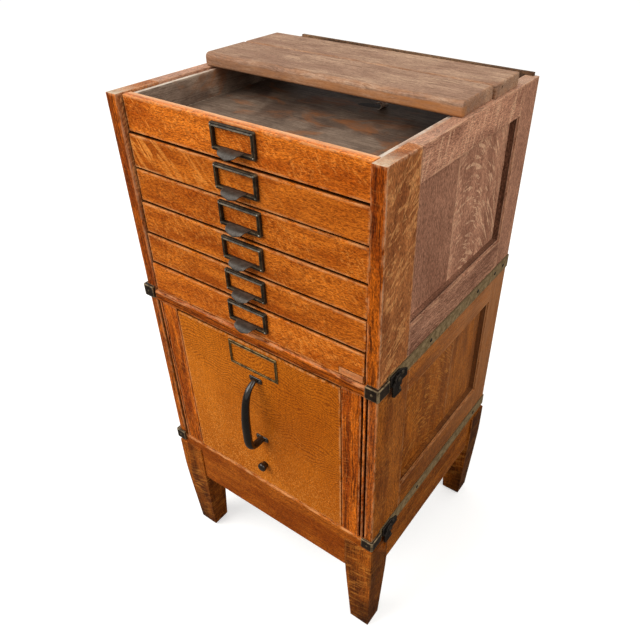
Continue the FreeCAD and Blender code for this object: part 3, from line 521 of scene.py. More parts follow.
def oak(name, pale, dark, **look):
    """Quarter-sawn oak, planed, stained and varnished long ago.

    Cut along its rays it shows fine dark lines and dashes of pores along the grain, a slow
    change of tone, and flecks where the rays lie in the face. Varnish gives it a soft gloss.
    The arrises are paler, partly rubbed and partly a painted highlight, and painted shade lies in
    its gaps, grooves and corners. Real pores are about 0.3 mm wide, too fine to show, so the
    lines and dashes are drawn 1.5 to 3 mm wide.
    """
    material, tree = new_material(name)
    if look.get("from_object"):
        spot = add(tree, "TexCoord").outputs["Object"]
    else:
        spot = add(tree, "Attribute", attribute_name="grain").outputs["Vector"]
    worn, tone, figure, bare, soot = (
        add(tree, "Attribute", attribute_name=mark).outputs["Fac"] for mark in MARKS)
    lean, line = look.get("lean", 18), look["line"]
    spot = wandering(tree, spot, 12, 11.0)

    # Slow change of tone, year rings, dark lines and dashes of pores
    cloud = noise_at(tree, spot, look.get("cloud", (120, 34, 60)), detail=3, rough=0.55, wave=0.4)
    rings = noise_at(tree, spot, (420, 11, 26), detail=3, rough=0.6, wave=0.4)
    lines = noise_at(tree, spot, look.get("streak", (70, 1.9, 2.6)), detail=4, rough=0.62)
    pores = noise_at(tree, spot, look.get("dash", (8, 1.5, 1.7)), turn=lean * 0.15, detail=2.5,
                     rough=0.62, wave=0.4)
    colour = laid(tree, pale, dark, cloud, 0.34, 0.68)
    colour = laid(tree, colour, dark, rings, 0.42, 0.66, look.get("rings", 0.35))
    colour = laid(tree, colour, line, lines, 0.49, 0.60, look["lines"])
    colour = laid(tree, colour, line, pores, 0.51, 0.58, look["pores"])

    # Ray flecks in patches
    arched = bowed(tree, spot, *look["bow"]) if "bow" in look else spot
    flecks = noise_at(tree, arched, (*look.get("size", (2.2, 14)), 30), turn=lean, detail=3,
                      rough=0.55, wave=look.get("wave", 0.9))
    region = noise_at(tree, spot, look.get("patch", (70, 26, 60)), detail=2, rough=0.5)
    strength = add(tree, "Math", (figure, look.get("gain", 1.0), look["figure"]),
                   operation="MULTIPLY_ADD", use_clamp=True)
    patch = add(tree, "MapRange", (region, 0.36, 0.56, look.get("floor", 0.15), 1.0), **SMOOTH)
    patch = add(tree, "Math", (patch, strength), operation="MULTIPLY")
    colour = laid(tree, colour, look["fleck"], flecks, *look.get("cut", (0.53, 0.61)), patch)
    if "ripple" in look:
        colour = rippled(tree, colour, spot, look, (pores, figure))

    # Each board's own tone, painted shade on the legs' outer faces, and a fine grain
    fine = noise_at(tree, spot, look.get("fine", (4.5, 1.2, 1.6)), detail=2, rough=0.7)
    crisp = look.get("crisp", 0.34)
    value = add(tree, "MapRange", (tone, -1.0, 1.0, 0.4, 1.6), **SMOOTH)
    grain = add(tree, "MapRange", (fine, 0.38, 0.62, 1 - crisp, 1 + crisp), **SMOOTH)
    value = add(tree, "Math", (value, grain), operation="MULTIPLY")
    colour = add(tree, "HueSaturation", {"Color": colour, "Value": value})

    # Paler arrises, partly rubbed and partly a painted highlight; bare wood; stains; painted shade
    rub = noise_at(tree, spot, (26, 7, 7), detail=4, rough=0.7)
    rubbed = add(tree, "Math", (worn, look.get("wear", 0.6)), operation="MULTIPLY")
    colour = laid(tree, colour, look["rubbed"], rub, 0.38, 0.62, rubbed)
    dust = noise_at(tree, spot, look.get("dust", (60, 5, 5)), detail=5, rough=0.7)
    bare_wood = look.get("bare", look["rubbed"])
    colour = laid(tree, colour, bare_wood, dust, 0.30, 0.62, bare, start=0.4)
    if "stain" in look:
        share, size, stain = look["stain"]
        spread = noise_at(tree, spot, size, detail=5, rough=0.62, wave=0.8)
        colour = laid(tree, colour, stain, spread, 0.48, 0.68, share)
    # Painted shade in gaps, grooves and recesses, and the dark glue line round the repair
    shade_and_glue_share = add(tree, "Math", (soot, 0.92), operation="MULTIPLY")
    colour = add(tree, "Mix", {0: shade_and_glue_share, 6: colour, 7: "#1C0B04"}, data_type="RGBA").outputs[2]

    # Varnish, duller in the dark lines, over pores that are a little sunk
    gloss = look.get("gloss", 0.36)
    rough = add(tree, "MapRange", (lines, 0.35, 0.75, gloss, gloss + 0.2), **SMOOTH)
    height = add(tree, "Math", (pores, -0.8, 0.0), operation="MULTIPLY_ADD")
    height = add(tree, "Math", (lines, -0.6, height), operation="MULTIPLY_ADD")
    bump = add(tree, "Bump", {"Height": height, "Strength": 0.32, "Distance": 0.0006})
    shader = add(tree, "BsdfPrincipled", {
        "Base Color": colour, "Roughness": rough, "Normal": bump, "IOR": 1.45,
        "Specular IOR Level": 0.09, "Coat Weight": look.get("coat", 0.02),
        "Coat Roughness": 0.2})
    add(tree, "OutputMaterial", {"Surface": shader})
    return material


def aged_metal(name, base, edge, dark, **look):
    """Pressed or cast metal darkened with age and handled bright on its edges.

    The patina is mottled in spots of 9 mm and speckled in spots of 1.6 mm, which are drawn
    coarser than real ones so that they show. The raised edges show the metal, partly as wear and
    partly as a painted highlight; on the strip the edge colour is dark, a painted shadow.
    """
    material, tree = new_material(name)
    spot = add(tree, "TexCoord").outputs["Object"]
    worn = add(tree, "Attribute", attribute_name="worn").outputs["Fac"]
    mottle = noise_at(tree, spot, (9, 9, 9), detail=5, rough=0.65)
    speck = noise_at(tree, spot, (1.6, 1.6, 1.6), detail=3, rough=0.6)
    colour = laid(tree, base, dark, mottle, 0.32, 0.68)
    colour = laid(tree, colour, dark, speck, 0.52, 0.70, 0.5)
    # Edge colour on the raised edges: wear and a painted highlight, and on the strip a painted
    # shadow
    rubbed = add(tree, "Math", (worn, look["wear"]), operation="MULTIPLY")
    colour = laid(tree, colour, edge, mottle, 0.62, 0.38, rubbed, start=0.25)
    gloss = look["gloss"]
    rough = add(tree, "MapRange", (speck, 0.3, 0.7, gloss, gloss + 0.2), **SMOOTH)
    bump = add(tree, "Bump", {"Height": speck, "Strength": look.get("pitted", 0.18),
                              "Distance": 0.0004})
    shader = add(tree, "BsdfPrincipled", {
        "Base Color": colour, "Metallic": look["metallic"], "Roughness": rough,
        "Normal": bump, "Coat Weight": look.get("coat", 0.0), "Coat Roughness": 0.12,
        "Specular IOR Level": look.get("shine", 0.4)})
    add(tree, "OutputMaterial", {"Surface": shader})
    return material


def wood_looks():
    """All woods of the cabinet by name, each with its pale and its dark colour.

    Sizes are in millimetres along, across and into the wood. Shares lie between 0 and 1.
    """
    own = bpy.context.scene.cabinet_colours
    # The colour for the arrises in each palette is partly rubbed wood and partly a painted
    # highlight
    fronts = {"line": "#6B2903", "fleck": "#E58F3C", "rubbed": "#E8A468", "bare": "#DDA678"}
    faded_and_sheen = {"line": "#55301E", "fleck": "#D2A482", "rubbed": "#CE9F7C", "bare": "#C9B79C",
             "gloss": 0.42}
    amber = {"line": "#472005", "fleck": "#C07C34", "rubbed": "#C08A5C", "bare": "#AD7850",
             "gloss": 0.4}
    inner = {"line": "#352A24", "fleck": "#9A8270", "rubbed": "#B9A48E", "bare": "#DCCDBB",
             "figure": 0.0}
    front, side = (own.front_pale, own.front_dark), (own.side_pale_with_sheen, own.side_dark_with_sheen)
    low = own.low_pale, own.low_dark
    return {
        # Drawer fronts: orange stain under varnish, with short slanting flecks
        "front": oak(
            "stained golden oak", *front, size=(2.4, 9), figure=0.2, lean=-38, lines=0.35,
            pores=0.6, rings=0.4, dash=(6, 1.6, 2), patch=(50, 30, 50), crisp=0.3, **fronts),
        # The same, cut so that its rays show as broad pale tongues
        "front_rays": oak(
            "broad-rayed golden oak", *front, size=(9, 45), figure=0.0, lean=-38, lines=0.3,
            pores=0.55, rings=0.35, dash=(5, 1.6, 2), cut=(0.50, 0.60), floor=0.5, crisp=0.25,
            **fronts),
        # The file drawer's front, evenly orange, with dark ripples across its grain
        "file_front": oak(
            "rippled golden oak", "#D27518", "#B65D0C", size=(2.0, 3.5), figure=0.35, gain=-0.5,
            lines=0.15, pores=0.25, rings=0.2, lean=12, dash=(2.4, 3.2, 3), cloud=(260, 200, 60),
            cut=(0.50, 0.60), floor=0.6, crisp=0.3, fine=(1.6, 1.8, 2), ripple=(0.62, 5.2),
            **fronts),
        # Posts and rails at the front, streaked dark along the grain
        "post": oak(
            "streaked oak of posts and rails", own.post_pale, own.post_dark, figure=0.1,
            lines=0.8, pores=0.5, lean=25, dash=(14, 1.8, 2), streak=(110, 2.6, 3),
            cloud=(160, 14, 40), line="#451804", fleck="#D88A44", rubbed="#DD9560",
            bare="#C9B79C"),
        # Front stiles of the upper side, less faded, with large leaning flecks
        "side": oak(
            "golden oak of the front stiles", "#B5713F", "#884D27", size=(12, 34), figure=0.5,
            lean=34, wave=1.5, cut=(0.51, 0.58), lines=0.3, pores=0.4, rings=0.3,
            **{**faded_and_sheen, "fleck": "#D8985C"}),
        # The rest of the upper side: a dull pinkish brown, partly bleached varnish and partly a
        # painted sheen, with the grain of each board as it was sawn
        "side_low": oak(
            "dark-lined faded oak", *side, figure=0.0, lines=0.5, pores=0.5,
            streak=(50, 2.2, 2.6), rings=0.4, **faded_and_sheen),
        "side_rail": oak(
            "faded oak with long upright rays", *side, size=(4.2, 60), figure=0.65, lean=14,
            wave=0.5, lines=0.2, pores=0.4, rings=0.2, floor=0.5, **faded_and_sheen),
        "side_flame": oak(
            "faded oak with arched rays", *side, size=(5.6, 26), figure=0.9, lean=0,
            bow=(28, 8.0), wave=0.7, cut=(0.55, 0.60), lines=0.25, pores=0.4, rings=0.15,
            floor=0.4, **faded_and_sheen),
        "side_plain": oak(
            "plain faded oak", *side, figure=0.0, lines=0.35, pores=0.45, streak=(60, 1.5, 2.2),
            rings=0.1, cloud=(400, 200, 60), **faded_and_sheen),
        # The file section's side keeps more of its amber varnish
        "low_side": oak(
            "amber oak of the file section", *low, size=(2.6, 15), figure=0.4, lean=26,
            lines=0.5, pores=0.55, rings=0.3, **amber),
        "low_flame": oak(
            "amber oak with arched rays", *low, size=(3.4, 22), figure=0.6, lean=0,
            bow=(-60, 6.0), lines=0.35, pores=0.5, rings=0.25, wave=0.6, floor=0.4, **amber),
        # Legs: darker stain, with pale stripes down the grain
        "leg": oak(
            "dark striped oak of the legs", own.leg_pale, own.leg_dark, size=(4.5, 40),
            figure=0.6, lines=0.5, pores=0.5, lean=20, wave=0.8, cut=(0.48, 0.62), floor=0.4,
            line="#381604", fleck="#B8722C", rubbed="#A8642A"),
        # Loose boards: no varnish left, grey-brown and matt, with dark stains
        "board": oak(
            "bare weathered oak of the top boards", own.board_pale, own.board_dark, figure=0.0,
            lines=0.5, pores=0.45, rings=0.3, cloud=(90, 45, 50), line="#604636",
            fleck="#B08A68", rubbed="#A0693F", wear=0.35, bare="#B0713C", dust=(60, 9, 9),
            crisp=0.12, stain=(0.45, (130, 45, 50), "#85644F"), gloss=0.6, coat=0.0),
        # Drawer boxes: grey with dust over blotches of brown stain
        "inside": oak(
            "stained inner wood", own.inner_pale, own.inner_dark, lines=0.35, pores=0.25,
            rings=0.3, cloud=(60, 60, 60), wear=1.0, stain=(0.65, (80, 45, 45), "#93582C"),
            gloss=0.45, coat=0.05, crisp=0.12, **inner),
        # Frames and runners inside the case: sawn, never varnished, matt
        "case_inside": oak(
            "unfinished inner oak", "#8C6A4C", "#5A3F2B", from_object=True, lines=0.5,
            pores=0.4, gloss=0.6, coat=0.0, **inner),
    }


def metal_looks():
    """All metals of the cabinet by name, each with its own colour, its edges' and its spots'."""
    own = bpy.context.scene.cabinet_colours
    return {
        # Rolled strip under an old bronze lacquer: brown, hardly metallic, dull; its dark edge
        # colour is a painted shadow where it meets the wood
        "strip": aged_metal("aged bronze strip", own.bronze, "#33281A", "#6A5638",
                            metallic=0.15, gloss=0.5, wear=0.8, shine=0.12),
        # Pressed caps, nearly black, brass-coloured where hands have rubbed them
        "cap": aged_metal("blackened bronze cap", "#36271A", "#B8A078", "#140D08",
                          metallic=0.4, gloss=0.34, wear=0.65),
        # Label frames: pressed, bronzed nearly black, with dull brown edges
        "label": aged_metal("dark bronze label frame", own.label_bronze, "#86714F", "#120D08",
                            metallic=0.4, gloss=0.36, wear=0.5),
        # Finger lips, worn through to grey steel
        "lip": aged_metal("worn steel lip", own.lip_steel, "#6E6152", "#352D25",
                          metallic=0.3, gloss=0.45, wear=0.5),
        # Stoved enamel on cast iron: smooth, black, with a clear highlight
        "enamel": aged_metal("black stoved enamel", own.black_enamel, "#4A3620", "#050403",
                             metallic=0.0, gloss=0.22, wear=0.5, coat=0.8, pitted=0.03,
                             shine=0.15),
        # Latches: iron blackened by fire, matt
        "iron": aged_metal("blackened iron", "#16110D", "#4A4036", "#070504",
                           metallic=0.0, gloss=0.42, wear=0.35, shine=0.2),
        # The file drawer's label frame: thin brass, tarnished brown
        "brass": aged_metal("thin brass label frame", "#54401F", "#B08E54", "#20170C",
                            metallic=0.5, gloss=0.4, wear=0.7),
        # Turned steel, bright where it is handled and brown elsewhere
        "bright": aged_metal("handled screw steel", "#4C453A", "#CFC7B4", "#1E1A14",
                             metallic=0.6, gloss=0.36, wear=0.6),
        # Pivots and studs of the latches: turned steel gone dark
        "pin": aged_metal("dark screw heads", "#241D15", "#6E6250", "#0E0A07",
                          metallic=0.5, gloss=0.36, wear=0.5),
    }


# Operators


class CabinetMaterials(bpy.types.Operator):
    """Make the woods and metals and give the CAD pieces inside the case their wood."""

    bl_idname = "cabinet.materials"
    bl_label = "Materials"

    def execute(self, context):
        LOOKS.update(wood_looks())
        LOOKS.update(metal_looks())
        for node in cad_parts.values():
            for slot in node.material_slots:
                slot.material = LOOKS["case_inside"]
        return {"FINISHED"}


def outer_face(side, low, high):
    """X of a box's face on the given side of the cabinet."""
    return high[0] if side > 0 else low[0]


def leg_parts(node, side, seed):
    """A leg: its square outline moves inwards from the taper's height down to the floor."""
    low, high = node_box(node)
    outline = rectangle(low[0], low[1], high[0], high[1])
    taper, knee, foot = 8.5, 185.0, 5.0
    rows = [(taper + foot + 3, 0, -1), (taper + foot, 0, 0.6), (taper + foot * 0.35, 1.6, 0.8)]
    rows += [(taper * (1 - z / knee), z, 0) for z in (5.5, 30, 70, 120, 160)]
    rows += [(0.5, 176, 0), (0.12, 186, 0), (0, 196, 0)]
    rows += [(0, high[2] - 1.2, 0), (0.8, high[2], 0.5), (5, high[2], -1)]
    leg = shell(outline, rows, "XY", radius=2.0, band=5, steps=3, along=2, through=1, seed=seed,
                figure=0.1)
    # Painted shade: the outer face is darker; the foot is also darker towards the floor
    inward = (outer_face(side, low, high) - leg["points"][:, 0] / MM) * side
    height = leg["points"][:, 2] / MM
    leg["tone"] = np.where(inward < 1.4 + taper * np.clip(1 - height / knee, 0, 1), -0.75, 0.2)
    leg["tone"] -= 0.3 * np.clip(1 - height / 60, 0, 1)
    return [leg]


def cut_with(made, cutter_parts):
    """Cut a hole into a piece: the difference of the two meshes, kept as the piece's mesh."""
    cutter = bpy.data.objects.new("cutter", mesh_of("cutter", cutter_parts))
    bpy.context.scene.collection.objects.link(cutter)
    cut = made.modifiers.new("cut", "BOOLEAN")
    cut.operation, cut.object, cut.solver = "DIFFERENCE", cutter, "EXACT"
    made.modifiers.remove(made.modifiers["face normals"])
    bpy.context.view_layer.update()
    evaluated = made.evaluated_get(bpy.context.evaluated_depsgraph_get())
    mesh = bpy.data.meshes.new_from_object(evaluated)
    made.modifiers.remove(cut)
    bpy.data.objects.remove(cutter)
    made.data = mesh
    mesh.set_sharp_from_angle(angle=math.radians(30))
    made.modifiers.new("face normals", "WEIGHTED_NORMAL").keep_sharp = True


def rail_outline(between, over, foot, joint):
    """A rail's face: the board between two legs, and its upper strip that runs over their tops."""
    (start, end), (first, last) = between, over
    return [(start, foot), (end, foot), (end, LEG_TOP), (last, LEG_TOP), (last, joint),
            (first, joint), (first, LEG_TOP), (start, LEG_TOP)]


class CabinetBase(bpy.types.Operator):
    """Four tapered legs and the rails between them."""

    bl_idname = "cabinet.base"
    bl_label = "Base"

    def execute(self, context):
        seed = 3
        for row in ("front", "back"):
            for side, hand in SIDES:
                node = f"base_leg_{row}_{hand}"
                seed += 1
                leg = piece(f"leg_{row}_{hand}", leg_parts(node, side, seed), "case",
                            "leg", [node])
                if row == "front":
                    # An upright hollow with round ends in the outer face, just below the latch
                    face = outer_face(side, *node_box(node))
                    hollow = shell(rectangle(-181, 224, -170, 246),
                                   [(0, face + 3 * side, 0), (0, face - 9 * side, 0)], "YZ",
                                   radius=5.2, band=0.1, steps=6, seed=seed)
                    cut_with(leg, [hollow])
        self.rails()
        return {"FINISHED"}

    def rails(self):
        """Rails on all four sides; the front one has a rounder edge and the fronts' wood."""
        low, high = node_box("base_rail_front")
        foot, joint = low[2], high[2]
        front = {"weights": [0.4, 0.2, 0.4, 0.4, 1.0, 0.4, 0.4, 0.2], "figure": -0.1,
                 "tone": -0.15}
        for where, ends, edge, seed, look, marks in (
                ("front", (-168.5, 171.7), 2.5, 21, "front", front),
                ("back", (-171.7, 171.7), 1.2, 22, "low_side", {}),
                ("left", None, 1.2, 22, "low_side", {}),
                ("right", None, 1.2, 24, "low_side", {})):
            low, high = node_box(f"base_rail_{where}")
            if ends:
                run, through, width, over = 0, 1, 21, (low[0], high[0])
            else:
                run, through, width, over = 1, 0, 20, (-194.5, 192.5)
                ends = low[1], high[1]
            rail = shell(rail_outline(ends, over, foot, joint),
                         rim(low[through], high[through], edge, width=width), PLANES[through],
                         radius=1.2, along=run, through=through, seed=seed, **marks)
            piece(f"{where}_base_rail", [rail], "case", look,
                  [f"base_rail_{where}"])


# A side frame's thickness, seen from the front as a post, the widths of its front stile, lower and
# upper rail, the looks of its five pieces, where the panel's two boards meet as a share of its
# width, and the look and tone of each board
SECTIONS = {
    "upper": {"post": 20.4, "stile": 78.5, "low": 62.9, "top": 48.2,
              "looks": ("side", "side_plain", "side_low", "side_rail", "side_plain"),
              "joint": 0.44, "panel": (("side_plain", -0.02), ("side_flame", 0.05))},
    "lower": {"post": 15.3, "stile": 86.5, "low": 70.4, "top": 64.9,
              "looks": ("low_side",) * 5,
              "joint": 0.62, "panel": (("low_flame", 0.12), ("low_side", 0.05))},
}
REAR_STILE = 58.7
REBATE = (217.3, 206)  # the corner cut out of a rear stile for the back panel


def faded_and_sheen(part):
    """How much paler the file section's side is, partly faded varnish and partly a painted sheen:
    more towards the back and top.
    """
    _, y, z = part["points"].T / MM
    return np.clip((y + 100) / 400 + (z - 430) / 700, 0.02, 0.85)


def frame_parts(section, side):
    """Stiles, rails and moulded inner edge of a side frame, inside its CAD box.

    The moulding is a loop round the panel: it steps back from the frame's face over a small
    round and a hollow and then drops to the panel.
    """
    sizes = SECTIONS[section]
    low, high = node_box(f"{section}_side_frame_{'left' if side < 0 else 'right'}")
    front, rear, bottom, top = low[1], high[1], low[2], high[2]
    moulded = 3.0
    y0, y1 = front + sizes["stile"] - moulded, rear - REAR_STILE + moulded
    z0, z1 = bottom + sizes["low"] - moulded, top - sizes["top"] + moulded
    post = sizes["post"]
    inner = SIDE_FACE - post
    seed = 40 if section == "upper" else 60
    front_stile = shell(rectangle(inner, front, SIDE_FACE, y0), rim(bottom, top, 1.0, width=20),
                        "XY", radius=1.3, along=2, through=0, seed=seed + 1, tone=0.05)
    rear_outline = [(inner, y1), (SIDE_FACE, y1), (SIDE_FACE, rear), (REBATE[0], rear), REBATE,
                    (inner, REBATE[1])]
    rear_stile = shell(rear_outline, rim(bottom, top, 1.0, width=7), "XY", radius=1.0,
                       along=2, through=0, seed=seed + 2)
    rails = [shell(rectangle(inner, start, SIDE_FACE, end),
                   rim(y0 + 0.15, y1 - 0.15, 0.5, width=20), "XZ", radius=1.0, along=1, through=0,
                   seed=seed + 3 + number, tone=tone)
             for number, (start, end, tone) in enumerate(((bottom, z0, -0.12), (z1, top, 0.15)))]
    depth = SIDE_FACE - np.array([3.0, 2.6, 2.9, 3.9, 5.6, 9.6, 12.4, post - 0.3, post - 0.3])
    inset = np.array([-0.6, 0.5, 1.9, 2.9, 3.0, 3.0, 3.0, 3.0, -0.6])
    worn = np.array([0, 0.5, 0.8, 0.2, 0, 0, 0, 0, 0])
    moulding = shell(rectangle(y0, z0, y1, z1), np.column_stack([inset, depth, worn]), "YZ",
                     radius=0.6, band=0.3, loop=True, along=2, through=0, seed=seed + 6,
                     tone=-0.15)
    # Painted shade: a dark line below the moulding's round, and a dark wall at the far end of the
    # panel
    x, y, _ = moulding["points"].T / MM
    back = SIDE_FACE - x
    soot = np.interp(back, [2.6, 3.2, 3.9, 5.6, 9.6, 12.4], [0, 0.2, 0.85, 0.3, 0.05, 0.4])
    moulding["soot"] = np.maximum(soot, 0.55 * (y > y1 - 4) * (back > 3.5))
    if section == "upper":
        # End grain on top shows no figure and has lost its varnish, the post's most at the front
        post_share = (46 - (front_stile["points"][:, 1] / MM - front)) / 52
        for part, share in ((front_stile, post_share), (rails[1], 0.15), (rear_stile, 0.3)):
            height = part["points"][:, 2]
            part["figure"] = np.where(height > (top - 1.1) * MM, -1.0, part["figure"])
            part["bare"] = np.where(height > (top - 0.2) * MM, share, 0.0)
    parts = [front_stile, rear_stile, *rails, moulding]
    if section == "lower":
        for part in parts:
            part["bare"] = faded_and_sheen(part)
    return on_side(parts, side)


class CabinetSides(bpy.types.Operator):
    """Framed sides: stiles, rails, moulded edge and the panels in their grooves."""

    bl_idname = "cabinet.sides"
    bl_label = "Framed sides"

    def execute(self, context):
        names = ("front_stile", "rear_stile", "lower_rail", "upper_rail", "moulding")
        for section, sizes in SECTIONS.items():
            for side, hand in SIDES:
                node = f"{section}_side_frame_{hand}"
                for name, part, look in zip(names, frame_parts(section, side), sizes["looks"]):
                    made = piece(f"{section}_{hand}_{name}", [part], "case",
                                 look, [node])
                    if name == "front_stile":
                        self.dress_post(made)
                self.panel(section, side, hand)
        return {"FINISHED"}

    def dress_post(self, made):
        """Give the faces of a front stile that look forward the richer wood of the front."""
        made.data.materials.append(LOOKS["post"])
        normals = np.empty(len(made.data.polygons) * 3)
        made.data.polygons.foreach_get("normal", normals)
        forward = normals.reshape(-1, 3)[:, 1] < -0.5
        made.data.polygons.foreach_set("material_index", forward.astype(int))

    def panel(self, section, side, hand):
        """A panel glued up from two boards, one of them strongly figured."""
        low, high = node_box(f"{section}_side_panel_{hand}")
        joint = low[1] + (high[1] - low[1]) * SECTIONS[section]["joint"]
        halves = zip((low[1], joint), (joint, high[1]), SECTIONS[section]["panel"])
        for number, (start, end, (look, tone)) in enumerate(halves):
            half = board((low[0], start, low[2]), (high[0], end, high[2]), 2, 0, edge=0.15,
                         band=0.4, seed=80 + number + side, tone=tone)
            if section == "lower":
                half["bare"] = 0.5 * faded_and_sheen(half)
            piece(f"{section}_{hand}_panel_{number + 1}", [half], "case",
                  look, [f"{section}_side_panel_{hand}"])


class CabinetFront(bpy.types.Operator):
    """Front rail between the sections and the grooved uprights beside the file drawer."""

    bl_idname = "cabinet.front"
    bl_label = "Front rail and uprights"

    def execute(self, context):
        low, high = node_box("lower_top_frame")
        front, end, depth, width = low[1], high[0], 61, 57
        nose = shell(rectangle(front, low[2], front + depth, high[2]),
                     rim(-207, 207, 1.0, width=20), "YZ", radius=[4.5, 0.5, 0.5, 4.5], steps=5,
                     along=0, through=1, seed=31, figure=-0.2, tone=-0.05)
        sides = [board((side * (end - width), front + depth + 0.2, low[2]),
                       (side * end, high[1], high[2]), 1, 2, edge=0.8, seed=33 + side)
                 for side, _ in SIDES]
        back = board((-end + width + 0.2, high[1] - 58, low[2]),
                     (end - width - 0.2, high[1], high[2]), 0, 2, edge=0.8, seed=36)
        piece("section_front_rail", [nose], "case", "post", ["lower_top_frame"])
        piece("section_rail_sides_and_back", [*sides, back], "case",
              "inside", ["lower_top_frame"])
        self.uprights()
        return {"FINISHED"}

    def uprights(self):
        """Moulding carried up the case: a flat, a groove, a bead and a second groove."""
        low, high = node_box("filler_stiles")
        inner, front, rear = 164.5, low[1], high[1]
        groove, bead = front + 6, front + 0.8
        outline = [(inner, rear), (inner, front), (197.5, front), (197.5, groove),
                   (200.7, groove), (200.7, bead), (204.8, bead), (204.8, groove),
                   (209.1, groove), (209.1, rear)]
        radius = [0.5, 1.0, 1.0, 0.3, 0.3, 1.6, 1.6, 0.3, 0.3, 0.5]
        right = shell(outline, rim(low[2], high[2], 0.5, width=8), "XY", radius=radius, band=2.5,
                      along=2, through=1, seed=51, figure=0.1, tone=0.35)
        # Painted shade, darker deeper into the grooves
        depth = right["points"][:, 1] / MM - front
        right["soot"] = np.clip((depth - 1.0) / 3, 0, 1)
        for side, hand in reversed(SIDES):
            piece(f"{hand}_upright", on_side([right], side), "case", "post",
                  ["filler_stiles"])


def shaded_gap_edges(front, low):
    """Painted shade on a front's edges behind its rounded arris, where they face the gaps."""
    depth = front["points"][:, 1] / MM - low[1]
    front["soot"] = np.clip((depth - 0.8) / 1.6, 0, 1)


def box_parts(node, wall, back, floor, lift, edges, grain, seed, tone=0.0):
    """A drawer box inside its CAD box: two sides, the back, and a bottom lifted a little.

    The first edge is the rounding of the walls and the second that of the bottom.
    """
    low, high = node_box(node)
    left, right, rear = low[0] + wall + 0.05, high[0] - wall - 0.05, high[1] - back
    return [
        board(low, (low[0] + wall, high[1], high[2]), 1, 0, edge=edges[0], seed=seed, tone=0.3),
        board((high[0] - wall, low[1], low[2]), high, 1, 0, edge=edges[0], seed=seed + 1,
              tone=0.3),
        board((left, rear, low[2]), (right, high[1] - 0.3, high[2]), 0, 1, edge=edges[0],
              seed=seed + 2, tone=tone),
        board((left, low[1], low[2] + lift), (right, rear - 0.05, low[2] + floor), grain, 2,
              edge=edges[1], seed=seed + 3),
    ]


def torn_lining(floor):
    """A tear in the lining near the middle of the top drawer, with its flap curled up.

    The tear is a thin dark sheet of painted shade, as wide as the square root of way times its
    rest, a lens. The flap turns over on a circle that shrinks towards its end.
    """
    way = np.linspace(0, 1, 24)[:, None]
    across = np.linspace(-0.5, 0.5, 7)[None, :]
    painted_tear_shade = np.empty((24, 7, 3))
    painted_tear_shade[..., 0] = 6 + 44 * way + 2 * across
    painted_tear_shade[..., 1] = 58 + 8 * way + 34 * np.sqrt(way * (1 - way)) * across
    painted_tear_shade[..., 2] = floor + 0.12
    turn, shrink = 4.2 * way, 7 * (1 - 0.35 * way)
    flap = np.empty((24, 7, 3))
    flap[..., 0] = 46 + shrink * np.sin(turn)
    flap[..., 1] = 58 + 20 * across + 2 * way
    flap[..., 2] = floor + 0.5 + shrink * (1 - np.cos(turn))
    return [leaf(painted_tear_shade, 0.2, soot=1.0), leaf(flap, 0.5, tone=1.0, bare=1.0)]


# Tone of each flat drawer's front, and the strength of its figure at the left and right ends
MOODS = ((0.3, 0.3, 0.1), (0.03, 0.9, -0.2), (0.05, 0.1, 0.3), (0.05, 0.3, 0.1), (0.06, 0.3, 0.1),
         (0.2, 0.0, 0.4))


